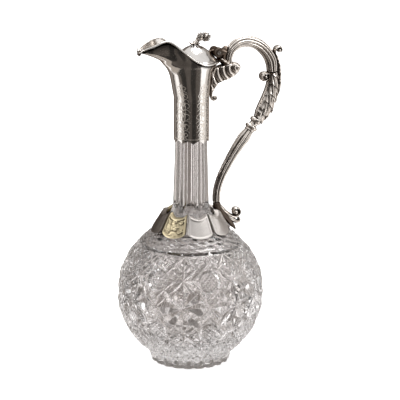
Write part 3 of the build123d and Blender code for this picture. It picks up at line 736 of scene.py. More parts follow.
def mouth_table(sleeve):
    """Height, reach to the back, to the side and to the spout, and how far the spout is drawn."""
    m = MOUTH
    rows = [(NECK_END, 0, 0, 0, 0), (m["flare"], 0, 0, 0, 0)]
    rows += [(m["flare"] + share * (m["z"] - m["flare"]), *rest) for share, *rest in BELOW_LID]
    rows += [(m["z"] + share * (m["under"] - m["z"]), *rest) for share, *rest in ABOVE_LID]
    rows.append((m["crest"] + 4, 1, 1.16, 1.05, 1))
    table = np.array(rows, float)
    for column, reach in enumerate((m["back"], m["half"], m["reach"]), 1):
        table[:, column] = sleeve + (reach - sleeve) * table[:, column]
    return table


def eased(z, table, column):
    """Values of a table's column at heights, along a curve that never overshoots."""
    x, y = table[:, 0], table[:, column]
    h, s = np.diff(x), np.diff(y) / np.diff(x)
    m = np.zeros_like(y)
    both = s[:-1] * s[1:] > 0
    m[1:-1][both] = (2 * s[:-1] * s[1:] / (s[:-1] + s[1:] + 1e-12))[both]
    m[0], m[-1] = s[0], s[-1]
    k = np.clip(np.searchsorted(x, z, side="right") - 1, 0, len(x) - 2)
    u = np.clip((z - x[k]) / h[k], 0, 1)
    return hermite(u, h[k], y[k], y[k + 1], m[k], m[k + 1])


def mouth_points(turn, z, table, plan, inset=0.0):
    """Points of the sleeve at turns and heights of the same shape."""
    back, half, front = (eased(z, table, c) - inset for c in (1, 2, 3))
    spouted = eased(z, table, 4)
    u = np.clip((np.abs(turn) - pi / 2) / (pi / 2), 0, 1)
    s = np.interp(u, plan[:, 0], plan[:, 1])
    w = np.interp(u, plan[:, 0], plan[:, 2])
    reach = np.sin(u * pi / 2) + (s - np.sin(u * pi / 2)) * spouted
    width = np.cos(u * pi / 2) + (w - np.cos(u * pi / 2)) * spouted
    behind = np.abs(turn) <= pi / 2
    x = np.where(behind, back * np.cos(turn), -front * reach)
    y = np.where(behind, half * np.abs(np.sin(turn)), half * width) * np.sign(turn + 1e-9)
    return x, y


def spout_plan():
    """Share of the way from side to tip, and the spout's length and width there."""
    share = np.linspace(0, 1, 200)
    spot = spline(SPOUT_PLAN, share, (1, 0), (0, -1))[0]
    return np.column_stack([share, spot[:, 0], np.clip(spot[:, 1], 0, None)])


def rim_line():
    """The rim's wave seen from the side, from the spout's tip to the back."""
    m = MOUTH
    points = [
        (m["back"] + 1, m["z"] + 1.2),
        (0.2 * m["back"], m["dip"]),
        (-0.24 * m["reach"], m["dip"] + 0.46 * (m["crest"] - m["dip"])),
        (-0.56 * m["reach"], m["crest"]),
        (-0.8 * m["reach"], m["under"] + 0.62 * (m["crest"] - m["under"])),
        (-1.01 * m["reach"], m["under"] - 0.5),
    ]
    spot = spline(points, np.linspace(0, 1, 400), (-1, 0.05), (-0.45, -1))[0]
    return spot[::-1]


def rim_heights(turn, table, plan):
    """Height of the rim at each turn, where the wavy line cuts the mouth."""
    line = rim_line()
    z = np.full_like(turn, 280.0)
    for _ in range(60):
        x, _y = mouth_points(turn, z, table, plan)
        z = z + 0.5 * (np.interp(x, line[:, 0], line[:, 1]) - z)
    return z


def scroll_work(cols, rows_z, radius):
    """Mask of engraved scrolls on the unrolled sleeve: panels of a stem with paired curls."""
    lines = []
    for base, length, reach, lift in CURLS:
        t = np.linspace(0, 1, 70)
        wind = 1.55 * pi * t**1.3
        r = reach * (1 - 0.78 * t)
        middle, height = reach * 0.95, base + length * 0.55
        lines.append(np.column_stack([middle - r * np.cos(wind), height + lift * r * np.sin(wind)]))
        t = np.linspace(0, 1, 24)
        bow = base + length * (0.1 + 0.22 * np.sin(t * pi)) - 1.2 * t
        lines.append(np.column_stack([0.2 + reach * 1.5 * t, bow]))
    for low, high in STEMS:
        wave = 0.35 + 0.3 * np.sin(np.linspace(0, 9 * pi, 90))
        lines.append(np.column_stack([wave, np.linspace(low, high, 90)]))
    t = np.linspace(0, pi, 60)
    edge = SHIELD["half_width"] * np.sin(t) ** 0.8
    lines.append(np.column_stack([edge, SHIELD["z"] - SHIELD["half_height"] * np.cos(t)]))
    pts = np.concatenate(lines)
    panel = 2 * pi / PANELS
    off = np.abs((circle(cols) - pi + panel / 2) % panel - panel / 2) * radius
    flat, back = np.unique(np.round(off, 4), return_inverse=True)
    mask = np.zeros((len(rows_z), len(flat)))
    for i, z in enumerate(rows_z):
        near = pts[np.abs(pts[:, 1] - z) < 2.0]
        if len(near):
            d = np.sqrt((flat[:, None] - near[None, :, 0]) ** 2 + (z - near[None, :, 1]) ** 2).min(1)
            mask[i] = np.clip(1.3 - d / 0.3, 0, 1)
    border = bell(rows_z - 206.2, 0.3)[:, None]
    return np.maximum(mask[:, back], border)


def painted_rim_shade(x, below):
    """Painted shade: how dark the silver is painted just under the rim's wire and beneath the spout."""
    painted_spout_shade = np.exp(-(((below - 4.5) / 2.6) ** 2) - ((x + 31) / 9) ** 2)
    return np.clip(bell(below - 2.0, 1.5) + 0.6 * painted_spout_shade, 0, 1)


class JUG_OT_neck_mount(bpy.types.Operator):
    """Raise the sleeve and its spout, with the rim's wire and the lid's seat"""

    bl_idname = "jug.neck_mount"
    bl_label = "Neck mount"

    def execute(self, context):
        m = context.scene.jug_mount
        table, plan = mouth_table(m.sleeve), spout_plan()
        cols, rows = 360, 230
        turn = np.linspace(-pi, pi, cols, endpoint=False)
        top = rim_heights(turn, table, plan)
        lobes = m.bottom + 2.4 * np.abs(np.sin(turn * PANELS)) ** 1.4
        z = lobes[None, :] + (top - 0.6 - lobes)[None, :] * np.linspace(0, 1, rows)[:, None]
        x, y = mouth_points(np.repeat(turn[None, :], rows, 0), z, table, plan)
        p = np.stack([x, y, z], -1)
        out = np.cross(np.roll(p, -1, 1) - np.roll(p, 1, 1), np.gradient(p, axis=0))
        out /= np.linalg.norm(out, axis=-1, keepdims=True)
        out *= np.sign((out[5, 0] * p[5, 0]).sum())
        # the engraving, and below zero painted shade under the rim's wire and beneath the spout, which also
        # sinks the sheet a little
        low, high, last = ENGRAVED["low"], ENGRAVED["high"], ENGRAVED["rows"] - 1
        mask = scroll_work(cols, np.linspace(low, high, ENGRAVED["rows"]), m.sleeve)
        level = np.clip((z - low) / (high - low) * last, 0, last).astype(int)
        cut = mask[level, np.arange(cols)[None, :]] * (z < ENGRAVED["ends"])
        # above zero the engraving, below zero the painted shade under the rim's wire and the spout
        cut = np.where(cut > 0.02, cut, -painted_rim_shade(x, top[None, :] - z) * (z > high))
        outer = p - out * (0.1 * np.maximum(cut, 0) + 0.25 * np.maximum(-cut, 0))[..., None]
        shell = sheet_metal(outer, p - out * m.sheet)
        engraving_and_painted_shade = np.concatenate([cut.ravel(), np.zeros(cut.size)])
        piece("sleeve_and_spout", [shell], engraved_silver(), "jug", ["neck_sleeve"], 50, engraving_and_painted_shade)
        # wire on the rim
        edge_z = top - 0.5
        edge = np.stack([*mouth_points(turn, edge_z, table, plan), edge_z], -1)
        up = np.cross(along_loop(edge), out[-1])
        up *= np.sign(up[:, 2:3])
        wire = loop_wire(edge - out[-1] * 0.2, out[-1], up, 1.15 * m.rim, 0.85 * m.rim, 18)
        piece("rim_wire", [wire], polished_silver(), "jug", ["rim_moulding"], 60)
        tip = edge[np.argmin(edge[:, 0])] + np.array([0.6, 0, -1.3])
        piece("spout_tip", [ball(1.7, tip, 1.3)], dark_toned_silver(), "jug", [], 60)
        coat(polished_silver(), "lid_seat_ring")
        coat(plaster(), "sleeve_cement", "calyx_cement")
        return {"FINISHED"}


# ------------------------------------------------------------------ lid
# the lid's plan, its domed profile and the finial's buds, in mm and radians
LID_PLAN = dict(back=23.2, half=18.4, front=17.5)
LID_UP = (0.0, 0.04, 0.12, 0.24, 0.36, 0.48, 0.6, 0.7, 0.8, 0.87, 0.93, 0.97, 1.0)
LID_WIDE = (1.0, 0.998, 0.985, 0.92, 0.83, 0.735, 0.64, 0.54, 0.43, 0.33, 0.22, 0.14, 0.02)
FINIAL_X = 2.8
FINIAL_RING = [(0.1, -0.6), (3.6, -0.9), (3.9, -0.2), (3.2, 0.4), (2.0, 0.7), (1.7, 1.6), (0.1, 1.9)]
STEM_THICK = [1.8, 1.5, 1.6, 1.8, 1.5]
# each bud: where it stands, its radius, how it leans and how many leaves its lowest tier has
BUDS = ((6.2, 292.8, 1.9, 1.3, 6), (8.6, 295.3, 2.4, 1.9, 7), (13.0, 294.2, 3.2, 0.65, 9))
# each tier of leaves: heights and radii of its roots and tips, in radii of the bud
TIERS = ((-1.0, 0.25, 0.75, 1.25), (-0.5, 0.85, 0.8, 1.2), (0.1, 1.4, 0.6, 0.85))
HINGE_X, HINGE_Z = 23.6, 280.4
KNUCKLE = [(0.01, -2.4), (3.8, -2.4), (4.1, -2.1), (4.1, 2.1), (3.8, 2.4), (0.01, 2.4)]
HINGE_LEAF = [(22.6, 282.6), (19.4, 282.2), (16.6, 281.6), (14.8, 282.2)]


def lid_plan(turn):
    """The lid's outline, longer towards the handle."""
    reach = np.where(np.cos(turn) > 0, LID_PLAN["back"], LID_PLAN["front"])
    return reach * np.cos(turn), LID_PLAN["half"] * np.sin(turn)


def leaf_blade(root, tip, normal, width, curl, rows=16, cols=9):
    """A pointed, cupped leaf from root to tip, with a raised midrib."""
    root, tip, normal = (np.array(v, float) for v in (root, tip, normal))
    way = tip - root
    side = np.cross(way, normal)
    side /= np.linalg.norm(side)
    up = np.cross(side, way)
    up /= np.linalg.norm(up)
    s = np.linspace(0, 1, rows)[:, None]
    t = np.linspace(-1, 1, cols)[None, :]
    w = width * np.sin(np.clip(s, 0.04, 0.995) * pi) ** 0.75 * (1 - 0.25 * s)
    w = w * (1 + 0.08 * np.sin(s * 22))
    lift = curl * s**2 - 0.42 * w * t**2 + 0.125 * bell(t, 0.2) * w
    top = root + s[..., None] * way + (w * t)[..., None] * side + lift[..., None] * up
    return slab(top, top - 0.45 * up)


def bud_leaves(x, z, r, tilt, count):
    """A bud of the finial: a ball in three tiers of leaves."""
    core, lean = np.array([x, 0, z]), np.array([cos(tilt), 0, sin(tilt)])
    across, deep = np.array([-lean[2], 0, lean[0]]), np.array([0, 1.0, 0])
    skins = [ball(r, core, 1.15, lean)]
    for tier, (low, high, out_low, out_high) in enumerate(TIERS):
        for k in range(count - tier):
            t = 2 * pi * (k + 0.4 * tier) / (count - tier) + 0.2
            away = cos(t) * across + sin(t) * deep
            root = core + r * (low * lean + out_low * away)
            tip = core + r * (high * lean + out_high * away)
            skins.append(leaf_blade(root, tip, away, 0.45 * r, 0.3 * r, 14, 7))
    return skins


class JUG_OT_lid(bpy.types.Operator):
    """Raise the lid, with its wire, finial and hinge leaf"""

    bl_idname = "jug.lid"
    bl_label = "Lid"

    def execute(self, context):
        m = context.scene.jug_mount
        px, py = lid_plan(circle(120))
        rise = m.apex - m.edge
        curve = spline(np.column_stack([LID_WIDE, LID_UP]), np.linspace(0, 1, 70))[0]

        def dome(shrink, drop):
            w, u = curve[:, :1], curve[:, 1:]
            x = FINIAL_X + (px[None, :] - FINIAL_X) * w * shrink
            y = py[None, :] * w * shrink
            return np.stack([x, y, m.edge + rise * u - drop + 0 * x], -1)

        shell = sheet_metal(dome(1, 0), dome(0.963, 0.8))
        # ring of mouldings where the finial stands
        spot = (FINIAL_X, 0, m.apex - 0.9)
        foot_ring = turned(rounded(FINIAL_RING, 40), 48, spot, (0.05, 0, 1))
        piece("lid_dome_sheet", [shell, foot_ring], polished_silver(), "lid", ["lid_dome"], 40)
        edge = np.stack([px * 0.975, py * 0.975, np.full_like(px, m.edge + 0.5)], -1)
        up = np.array([[0, 0, 1.0]])
        wire = loop_wire(edge, np.cross(along_loop(edge), up), up, 0.65, 0.65, 14)
        piece("lid_edge_wire", [wire], polished_silver(), "lid", ["lid_rim_wire"], 60)
        # finial: a leaning stem with buds wrapped in leaves, over a whorl of seven
        route = [(FINIAL_X, m.apex + 0.1), (4.4, 291.4), (7.4, 292.9), (11.0, 293.6), (14.5, 294.6)]
        skins = [sweep(route, STEM_THICK, STEM_THICK, rows=50, cols=28, round_ends=0.05)]
        for bud in BUDS:
            skins += bud_leaves(*bud)
        for k in range(7):
            t = 2 * pi * (k + 0.5) / 7
            root = (FINIAL_X + 1.4 * cos(t), 1.4 * sin(t), m.apex + 0.2)
            tip = (FINIAL_X + 5.6 * cos(t), 5.4 * sin(t), m.apex + 1.4 - 0.5 * cos(t))
            skins.append(leaf_blade(root, tip, (0, 0, 1), 1.4, 0.9))
        piece("bud_finial", skins, cast_silver(), "lid", ["finial", "finial_nut"], 40)
        # hinge leaf and middle knuckle
        knuckle = turned(KNUCKLE, 48, (HINGE_X, 0, HINGE_Z), (0, 1, 0))
        thick, wide = [0.9, 0.8, 0.6, 0.35], [2.3, 2.2, 1.7, 0.9]
        leaf = sweep(HINGE_LEAF, thick, wide, rows=30, cols=32, round_ends=0.06)
        strap = [knuckle, leaf]
        piece("lid_hinge_strap", strap, dark_toned_silver(), "lid", ["lid_hinge_leaf"], 30)
        return {"FINISHED"}


# ------------------------------------------------------------------ hinge and handle
# routes in the plane of the handle, as distance from the jug's axis and height in mm, each with
# its half thickness and half width at even steps
HANDLE_ROOT = (36.1, 268.5)
SCROLL_END = (78.9, 257.5)
COLLAR_TOP, COLLAR_END = (64.5, 216.1), (56.8, 206.2)
FOOT_JOINT = (25.1, 143.3)
DOWN_OUT, DOWN_IN = (0.12, -1), (-0.61, -0.79)
UPPER = [
    HANDLE_ROOT, (36.2, 277.0), (43.2, 285.4), (53.0, 287.3), (63.2, 284.3), (72.6, 276.3),
    (77.9, 266.5), SCROLL_END,
]
UPPER_THICK = [3.2, 4.0, 4.8, 5.1, 5.1, 5.3, 5.5, 4.9]
UPPER_WIDE = [3.2, 3.8, 4.65, 4.9, 4.9, 4.9, 4.9, 4.65]
ROOT_RING = [(0.1, -1.5), (3.4, -1.6), (4.2, -0.4), (3.4, 0.9), (2.6, 1.4)]
LEAFED = [
    SCROLL_END, (79.2, 250.0), (77.9, 241.5), (75.4, 233.8), (71.8, 226.0), (68.9, 221.3), COLLAR_TOP,
]
LEAFED_THICK = [5.0, 5.9, 6.5, 7.0, 7.5, 7.9, 8.0, 7.2, 4.4]
LEAFED_WIDE = [4.6, 5.2, 5.5, 5.8, 6.2, 6.4, 6.3, 5.8, 4.2]
LEAFLET_REACH = [5.4, 6.6, 7.3, 7.7, 6.6]
INNER_SCROLL = [
    (74.9, 256.4), (72.2, 257.0), (69.8, 256.8), (68.3, 254.5), (69.1, 251.6), (71.6, 250.9),
    (73.0, 252.6),
]
LEAF_TIP = [
    (80.0, 229.6), (82.8, 235.7), (84.6, 242.0), (85.2, 249.3), (85.1, 258.4), (84.1, 265.8),
    (82.3, 271.2), (80.9, 275.2), (81.7, 278.6), (84.3, 280.2), (86.9, 278.9), (87.2, 276.4),
    (85.8, 275.2),
]
LEAF_TIP_THICK = [0.6, 1.5, 2.0, 2.1, 1.9, 1.6, 1.3, 1.1, 1.0, 0.8]
LEAF_TIP_WIDE = [1.2, 3.6, 4.4, 4.6, 4.6, 4.4, 3.8, 3.4, 3.4, 3.0]
# the collar's rings: radius and share of the way along it
COLLAR = [
    (0.1, 0.0), (4.0, 0.02), (5.1, 0.08), (5.35, 0.18), (5.0, 0.29), (3.9, 0.34), (3.6, 0.45),
    (3.9, 0.58), (5.2, 0.63), (5.8, 0.73), (5.3, 0.84), (4.4, 0.9), (4.5, 0.98), (0.1, 1.0),
]
FLUTED = [
    COLLAR_END, (47.5, 194.9), (41.5, 186.6), (36.3, 178.4), (31.2, 169.6), (27.4, 160.9),
    (25.3, 152.5), FOOT_JOINT,
]
FLUTED_THICK = [4.3, 5.4, 4.9, 4.45, 4.15, 3.9, 3.7, 3.6, 3.6]
HINGE_NECK = [(33.6, 268.4), (30.4, 271.6), (29.6, 275.6), (30.6, 279.6), (32.4, 282.6), (34.4, 284.2)]
SADDLE = [(25.2, 276.0), (26.8, 274.4), (29.4, 272.6), (33.0, 270.6), (36.0, 268.8)]
STRAP = [FOOT_JOINT, (27.0, 136.4), (32.6, 129.4), (38.8, 122.6), (44.2, 116.0)]
BRANCH = [
    (28.2, 140.0), (31.8, 134.4), (37.4, 130.0), (43.2, 127.8), (47.4, 130.3), (46.6, 134.8),
    (42.8, 135.6), (41.0, 132.6),
]
BRANCH_THICK = [1.6, 2.3, 2.2, 1.9, 1.5, 1.2, 1.0, 0.8]
BRANCH_WIDE = [2.4, 3.4, 3.9, 3.8, 3.6, 3.4, 3.2, 3.0]
LOBE = [(33.0, 131.0), (37.4, 127.4), (42.2, 124.6), (46.4, 123.2), (47.6, 125.2), (46.0, 126.6)]
SHELL_NEAR = [(17.2, 245.0), (17.0, 252.0), (18.0, 259.5), (21.6, 267.5)]
SHELL_FAR = [
    (20.6, 244.6), (24.9, 252.2), (33.5, 254.9), (43.3, 259.0), (46.6, 264.5), (44.0, 268.8),
    (36.5, 269.3),
]
TAIL = [
    (21.8, 255.5), (20.0, 249.7), (19.2, 244.3), (19.0, 240.7), (20.6, 237.5), (23.2, 237.5),
    (23.7, 239.5), (22.2, 240.2),
]


def reeds(count, depth, phase=0.0):
    """Relief of round reeds side by side, this deep between them."""
    return lambda s, t: 1 - depth + depth * np.abs(np.cos(count * (t + phase) / 2)) ** 0.7


def curl(route, thick, wide):
    """Strip rolled into a scroll, with four faint reeds along it."""
    return sweep(route, thick, wide, lambda s, t: 1 + 0.05 * np.cos(4 * t), 110, 40, round_ends=0.03)


class JUG_OT_hinge(bpy.types.Operator):
    """Hinge block, outer knuckles and pin"""

    bl_idname = "jug.hinge"
    bl_label = "Hinge"

    def execute(self, context):
        x, z = HINGE_X, HINGE_Z
        inner, outer = 2.58, 6.0
        profile = [
            (0.01, inner), (4.0, inner), (4.3, inner + 0.3), (4.3, outer - 0.5), (3.8, outer), (0.01, outer),
        ]
        arm_route = [(x + 1.5, z + 0.4), (x + 4.4, z + 0.2), (x + 7.6, z - 0.8)]
        arm, arm_faces = sweep(arm_route, [2.9, 2.6, 2.2], [1.6, 1.6, 1.6], rows=20, cols=24)
        skins = []
        for side in (-1, 1):
            skins.append(turned([(r, side * y) for r, y in profile], 48, (x, 0, z), (0, 1, 0)))
            skins.append((arm + np.array([0, side * 4.3, 0]), arm_faces))
        thick, wide = [2.6, 3.0, 2.8, 2.9, 2.6, 1.6], [3.6, 3.9, 3.9, 4.0, 3.4, 2.2]
        skins.append(sweep(HINGE_NECK, thick, wide, reeds(5, 0.12), 60, 48, round_ends=0.04))
        skins.append(ball(2.6, (31.6, 0, 281.2), 1.3))
        piece("hinge_block", skins, dark_toned_silver(), "jug", ["hinge_base"], 30)
        thick, wide = [1.0, 1.6, 2.2, 2.6, 2.4], [4.5, 7.0, 6.6, 5.0, 3.6]
        saddle = sweep(SADDLE, thick, wide, rows=50, cols=56, round_ends=0.1)
        piece("hinge_saddle", [saddle], cast_silver(), "jug", [], 40)
        coat(polished_silver(), "hinge_pin")
        return {"FINISHED"}


def acanthus(s, t):
    """Five overlapping lobes down the outer side, veined towards a midrib."""
    around = np.abs((t + pi) % (2 * pi) - pi) / pi
    cover = np.clip((0.72 - around) / 0.08, 0, 1)
    v = 5.2 * s + 1.25 * around
    lobe = (v - np.floor(v)) ** 1.4 * 0.22 * (1 - 0.4 * around)
    veins = 0.03 * np.cos(2 * pi * (7 * around + 4 * s))
    return 0.88 + cover * (lobe + veins + 0.1 * bell(around, 0.05))


def long_leaf(s, t):
    """Notched edges and a groove along the outer side."""
    notches = 1 + 0.1 * np.sin(46 * s) * np.abs(np.sin(t)) ** 3
    return notches * (1 - 0.18 * np.exp(-((np.cos(t) - 1) ** 2) / 0.002))


class JUG_OT_handle(bpy.types.Operator):
    """Cast the scroll handle, from the hinge to its foot on the glass"""

    bl_idname = "jug.handle"
    bl_label = "Handle"

    def execute(self, context):
        metal = cast_silver()
        reeded = reeds(9, 0.2)
        scroll = sweep(UPPER, UPPER_THICK, UPPER_WIDE, reeded, 180, 144, end=DOWN_OUT, round_ends=0.01)
        root = turned(rounded(ROOT_RING, 24), 48, (HANDLE_ROOT[0], 0, HANDLE_ROOT[1] - 0.3))
        piece("upper_scroll", [scroll, root], metal, "jug", ["handle_upper_scroll"], 40)
        ways = DOWN_OUT, DOWN_IN
        shaft = sweep(LEAFED, LEAFED_THICK, LEAFED_WIDE, acanthus, 260, 160, *ways, 0.012)
        piece("leaf_wrapped_shaft", [shaft], metal, "jug", ["acanthus_shaft"], 40)
        # leaflets that lift off the shaft like scales
        spot, way = spline(LEAFED, np.linspace(0.06, 0.84, 6), *ways)
        leaves = []
        for k, ((x, z), (run, rise)) in enumerate(zip(spot, way)):
            outward = np.array([-rise, 0, run])
            along = np.array([run, 0, rise])
            reach = smooth(LEAFLET_REACH, k / 5) - 1.1
            for turn in (-1.55, -0.85, 0.0, 0.85, 1.55):
                away = cos(turn) * outward + sin(turn) * np.array([0, 0.82, 0])
                base = np.array([x, 0, z]) + away * reach
                leaves.append(leaf_blade(base, base + along * 9.5 + away * 0.4, away, 3.4, 1.3, 22, 13))
        piece("leaflets", leaves, metal, "jug", [], 40)
        inner = curl(INNER_SCROLL, [1.3, 1.3, 1.3, 1.2, 1.0], [3.8, 4.4, 4.6, 4.6, 4.2])
        skins = [inner, ball(2.3, (71.2, 0, 253.9), 2.1)]
        piece("inner_scroll", skins, metal, "jug", ["inner_volute"], 40)
        # the long outer leaf, whose tip rolls outwards
        tip = sweep(LEAF_TIP, LEAF_TIP_THICK, LEAF_TIP_WIDE, long_leaf, 200, 56, round_ends=0.02)
        skins = [tip, ball(2.0, (85.3, 0, 276.9), 1.7)]
        piece("leaf_tip_scroll", skins, metal, "jug", ["leaf_volute"], 40)
        axis = Vector((COLLAR_END[0] - COLLAR_TOP[0], 0, COLLAR_END[1] - COLLAR_TOP[1]))
        profile = rounded([(r, k * axis.length) for r, k in COLLAR], 90)
        rings = turned(profile, 64, (COLLAR_TOP[0], 0, COLLAR_TOP[1]), axis)
        piece("collar_rings", [rings], metal, "jug", ["handle_collar"], 40)
        fluting = reeds(8, 0.3, pi / 8)
        bar = sweep(FLUTED, FLUTED_THICK, FLUTED_THICK, fluting, 180, 128, DOWN_IN, (0.1, -1), 0.01)
        piece("fluted_bar", [bar], metal, "jug", ["fluted_shaft"], 40)
        return {"FINISHED"}


def fan_shell():
    """The bracket's shell: ribs fan from its lower point to its scalloped top."""
    u = np.linspace(0, 1, 120)[:, None]
    s = np.linspace(0, 1, 90)
    near, far = spline(SHELL_NEAR, s)[0], spline(SHELL_FAR, s)[0]
    x = near[None, :, 0] * (1 - u) + far[None, :, 0] * u
    z = near[None, :, 1] * (1 - u) + far[None, :, 1] * u
    thick = 4.6
    for share in (u, s[None, :]):
        thick = thick * np.sqrt(np.clip(1 - (2 * share - 1) ** 8, 0, 1))
    spread_out = np.hypot(x - 44.0, (z - 265.4) * 1.15)
    thick = thick * (0.62 + 0.38 * np.abs(np.cos(pi * (spread_out - 4.0) / 5.8)) ** 0.7)
    return slab(np.stack([x, thick, z], -1), np.stack([x, -thick, z], -1))


class JUG_OT_handle_foot(bpy.types.Operator):
    """Strap and scroll at the handle's foot, and the shell bracket at its head"""

    bl_idname = "jug.handle_foot"
    bl_label = "Handle foot and bracket"

    def execute(self, context):
        metal = cast_silver()
        g = context.scene.jug_glass
        thick, wide = [3.5, 3.6, 3.2, 2.8, 2.2, 0.9], [3.6, 4.2, 4.9, 4.9, 3.8, 1.5]
        v, faces = sweep(STRAP, thick, wide, reeds(4, 0.14, 0.8), 90, 72, (0.1, -1), round_ends=0.02)
        # the strap lies on the calyx and the glass
        r = np.hypot(v[:, 0], v[:, 1])
        on_glass = np.sqrt(np.clip((g.globe + 0.2) ** 2 - (v[:, 2] - g.globe_z) ** 2, 0, None))
        low = np.maximum(np.where(v[:, 2] < 141, cone(v[:, 2]) + 0.1, 0), on_glass)
        k = np.where(r < low, low / np.maximum(r, 1e-6), 1)
        v = v * np.column_stack([k, k, np.ones_like(k)])
        piece("foot_strap", [(v, faces)], dark_toned_silver(), "jug", ["handle_foot"], 40)
        thick, wide = [1.6, 2.2, 2.4, 2.0, 1.4, 0.9], [2.6, 3.8, 4.2, 4.0, 3.2, 2.0]
        skins = [
            curl(BRANCH, BRANCH_THICK, BRANCH_WIDE),
            ball(2.9, (43.4, 0, 131.9), 1.3),
            sweep(LOBE, thick, wide, reeds(6, 0.16), 60, 60, round_ends=0.05),
        ]
        piece("foot_curl", skins, metal, "jug", ["foot_scroll"], 40)
        skins = [fan_shell(), ball(3.6, (43.2, 0, 265.2), 1.6)]
        piece("shell_bracket", skins, metal, "jug", ["handle_bracket"], 40)
        tail = curl(TAIL, [1.2, 1.2, 1.1, 0.95, 0.8], [2.6, 2.6, 2.4, 2.3, 2.0])
        skins = [tail, ball(1.3, (22.0, 0, 239.2), 1.7)]
        piece("bracket_curl", skins, metal, "jug", ["bracket_tail"], 40)
        return {"FINISHED"}


# ------------------------------------------------------------------ calyx
# the calyx's cone, and a lappet on it: its top and foot, and how far they curve, in mm
CONE = dict(radius=22.0, z=140.0, slope=0.617)
LAPPET = dict(top=139.9, top_curve=4.2, low=120.6, low_curve=6.2, half_turn=20.9, thick=1.6, border=0.4)
# where the lappets stand, 45 degrees apart round from the handle
# one lappet gets painted shade: a darker copy of the cross-hatched silver
SHADED_LAPPET_AT = 171
PLAIN_AT = range(261, 442, 45)
GILT_AT = (216, 126)
# chased blossoms: place on the lappet and radius in mm, petals and turn
BLOSSOMS = (
    (0, 0, 4.2, 5, 0.3), (-5.2, -4.6, 2.6, 4, 0.9), (5.0, -5.0, 2.6, 4, 0.2), (-4.8, 5.0, 2.7, 5, 0.5),
    (4.9, 4.6, 2.7, 4, 1.2), (0, 8.2, 2.4, 3, 0.0), (0, -7.0, 2.2, 3, 1.6),
)


def cone(z):
    """Radius of the calyx's cone at a height."""
    return CONE["radius"] + (CONE["z"] - z) * CONE["slope"]


def lappet(azimuth, relief, rows=64, cols=72):
    """A tongue on the cone: hollow at the top, lobed at the foot, with a raised border."""
    slant = sqrt(1 + CONE["slope"] ** 2)
    v = np.linspace(0, 1, rows)[:, None]
    u = np.linspace(-1, 1, cols)[None, :]
    top = LAPPET["top"] - LAPPET["top_curve"] / slant * (1 - u**2)
    low = LAPPET["low"]
    low = low + LAPPET["low_curve"] / slant * (1 - np.sqrt(np.clip(1 - 0.985 * u**2, 0, 1)))
    z = top + (low - top) * v
    edge = np.minimum(np.minimum(v, 1 - v) * 18, (1 - np.abs(u)) * 9)
    rim = LAPPET["border"] * np.clip(1.5 - np.abs(edge - 0.9), 0, 1)
    out = 1.3 * np.sqrt(np.clip(edge / 0.35, 0.0, 1)) + rim + 0.4 * (1 - u**2)
    out = out + relief(u, v) * np.clip((edge - 1.5) / 0.5, 0, 1)
    a = u * radians(LAPPET["half_turn"]) * (1 - 0.02 * v)
    front = round_axis(cone(z) + out * slant, a, z)
    verts, faces = slab(front, round_axis(cone(z) - LAPPET["thick"] * slant, a, z))
    t = radians(azimuth)
    spin = np.array([[cos(t), -sin(t), 0], [sin(t), cos(t), 0], [0, 0, 1]])
    return verts @ spin.T, faces


def hatching(u, v):
    """Crossed cuts of the graver."""
    return 0.12 * (triangle(u * 8 + v * 9) + triangle(u * 8 - v * 9) - 1)


def blossoms(u, v):
    """Chased blossoms, on a sunken ground."""
    x, y = u * 9.0, (v - 0.47) * 21.0
    ground = np.full(np.broadcast(x, y).shape, -0.8)
    for cx, cy, r, petals, spin in BLOSSOMS:
        away, a = np.hypot(x - cx, y - cy), np.arctan2(y - cy, x - cx)
        edge = r * (0.62 + 0.38 * np.abs(np.cos(petals * (a + spin) / 2)))
        dome = 1.5 * np.sqrt(np.clip(1 - (away / edge) ** 2, 0, 1)) - 0.7 * bell(away, 0.3 * r)
        ground = np.maximum(ground, dome - 0.7)
    return ground


class JUG_OT_calyx(bpy.types.Operator):
    """Lappets round the root of the neck"""

    bl_idname = "jug.calyx"
    bl_label = "Calyx"

    def execute(self, context):
        m = context.scene.jug_mount
        pale = hatched_silver("silver, cross-hatched", "#c9c4c0")
        # painted shade: a darker copy of the cross-hatched silver for one lappet
        shaded = hatched_silver("silver, cross-hatched, painted shade", "#7b746e")
        gold = hatched_silver("silver gilt, chased", m.gilt)
        skins = [lappet(a, hatching) for a in PLAIN_AT]
        piece("hatched_lappets", skins, pale, "jug", ["lappets"], 40)
        skins = [lappet(SHADED_LAPPET_AT, hatching)]
        piece("lappet_in_painted_shade", skins, shaded, "jug", [], 40)
        skins = [lappet(a, blossoms, 130, 120) for a in GILT_AT]
        piece("gilt_chased_lappets", skins, gold, "jug", ["gilt_lappets"], 40)
        coat(polished_silver(), "calyx_band")
        return {"FINISHED"}


# ------------------------------------------------------------------ stage
LOW_CARD = ((0.28, 0.002), (1.7, 0.002), (1.7, 0.9))
HIGH_CARD = ((0.3, 0.002), (1.7, 0.002), (1.7, 1.5))
PATCH = ((0.039, 0.0015), (0.28, 0.0015))
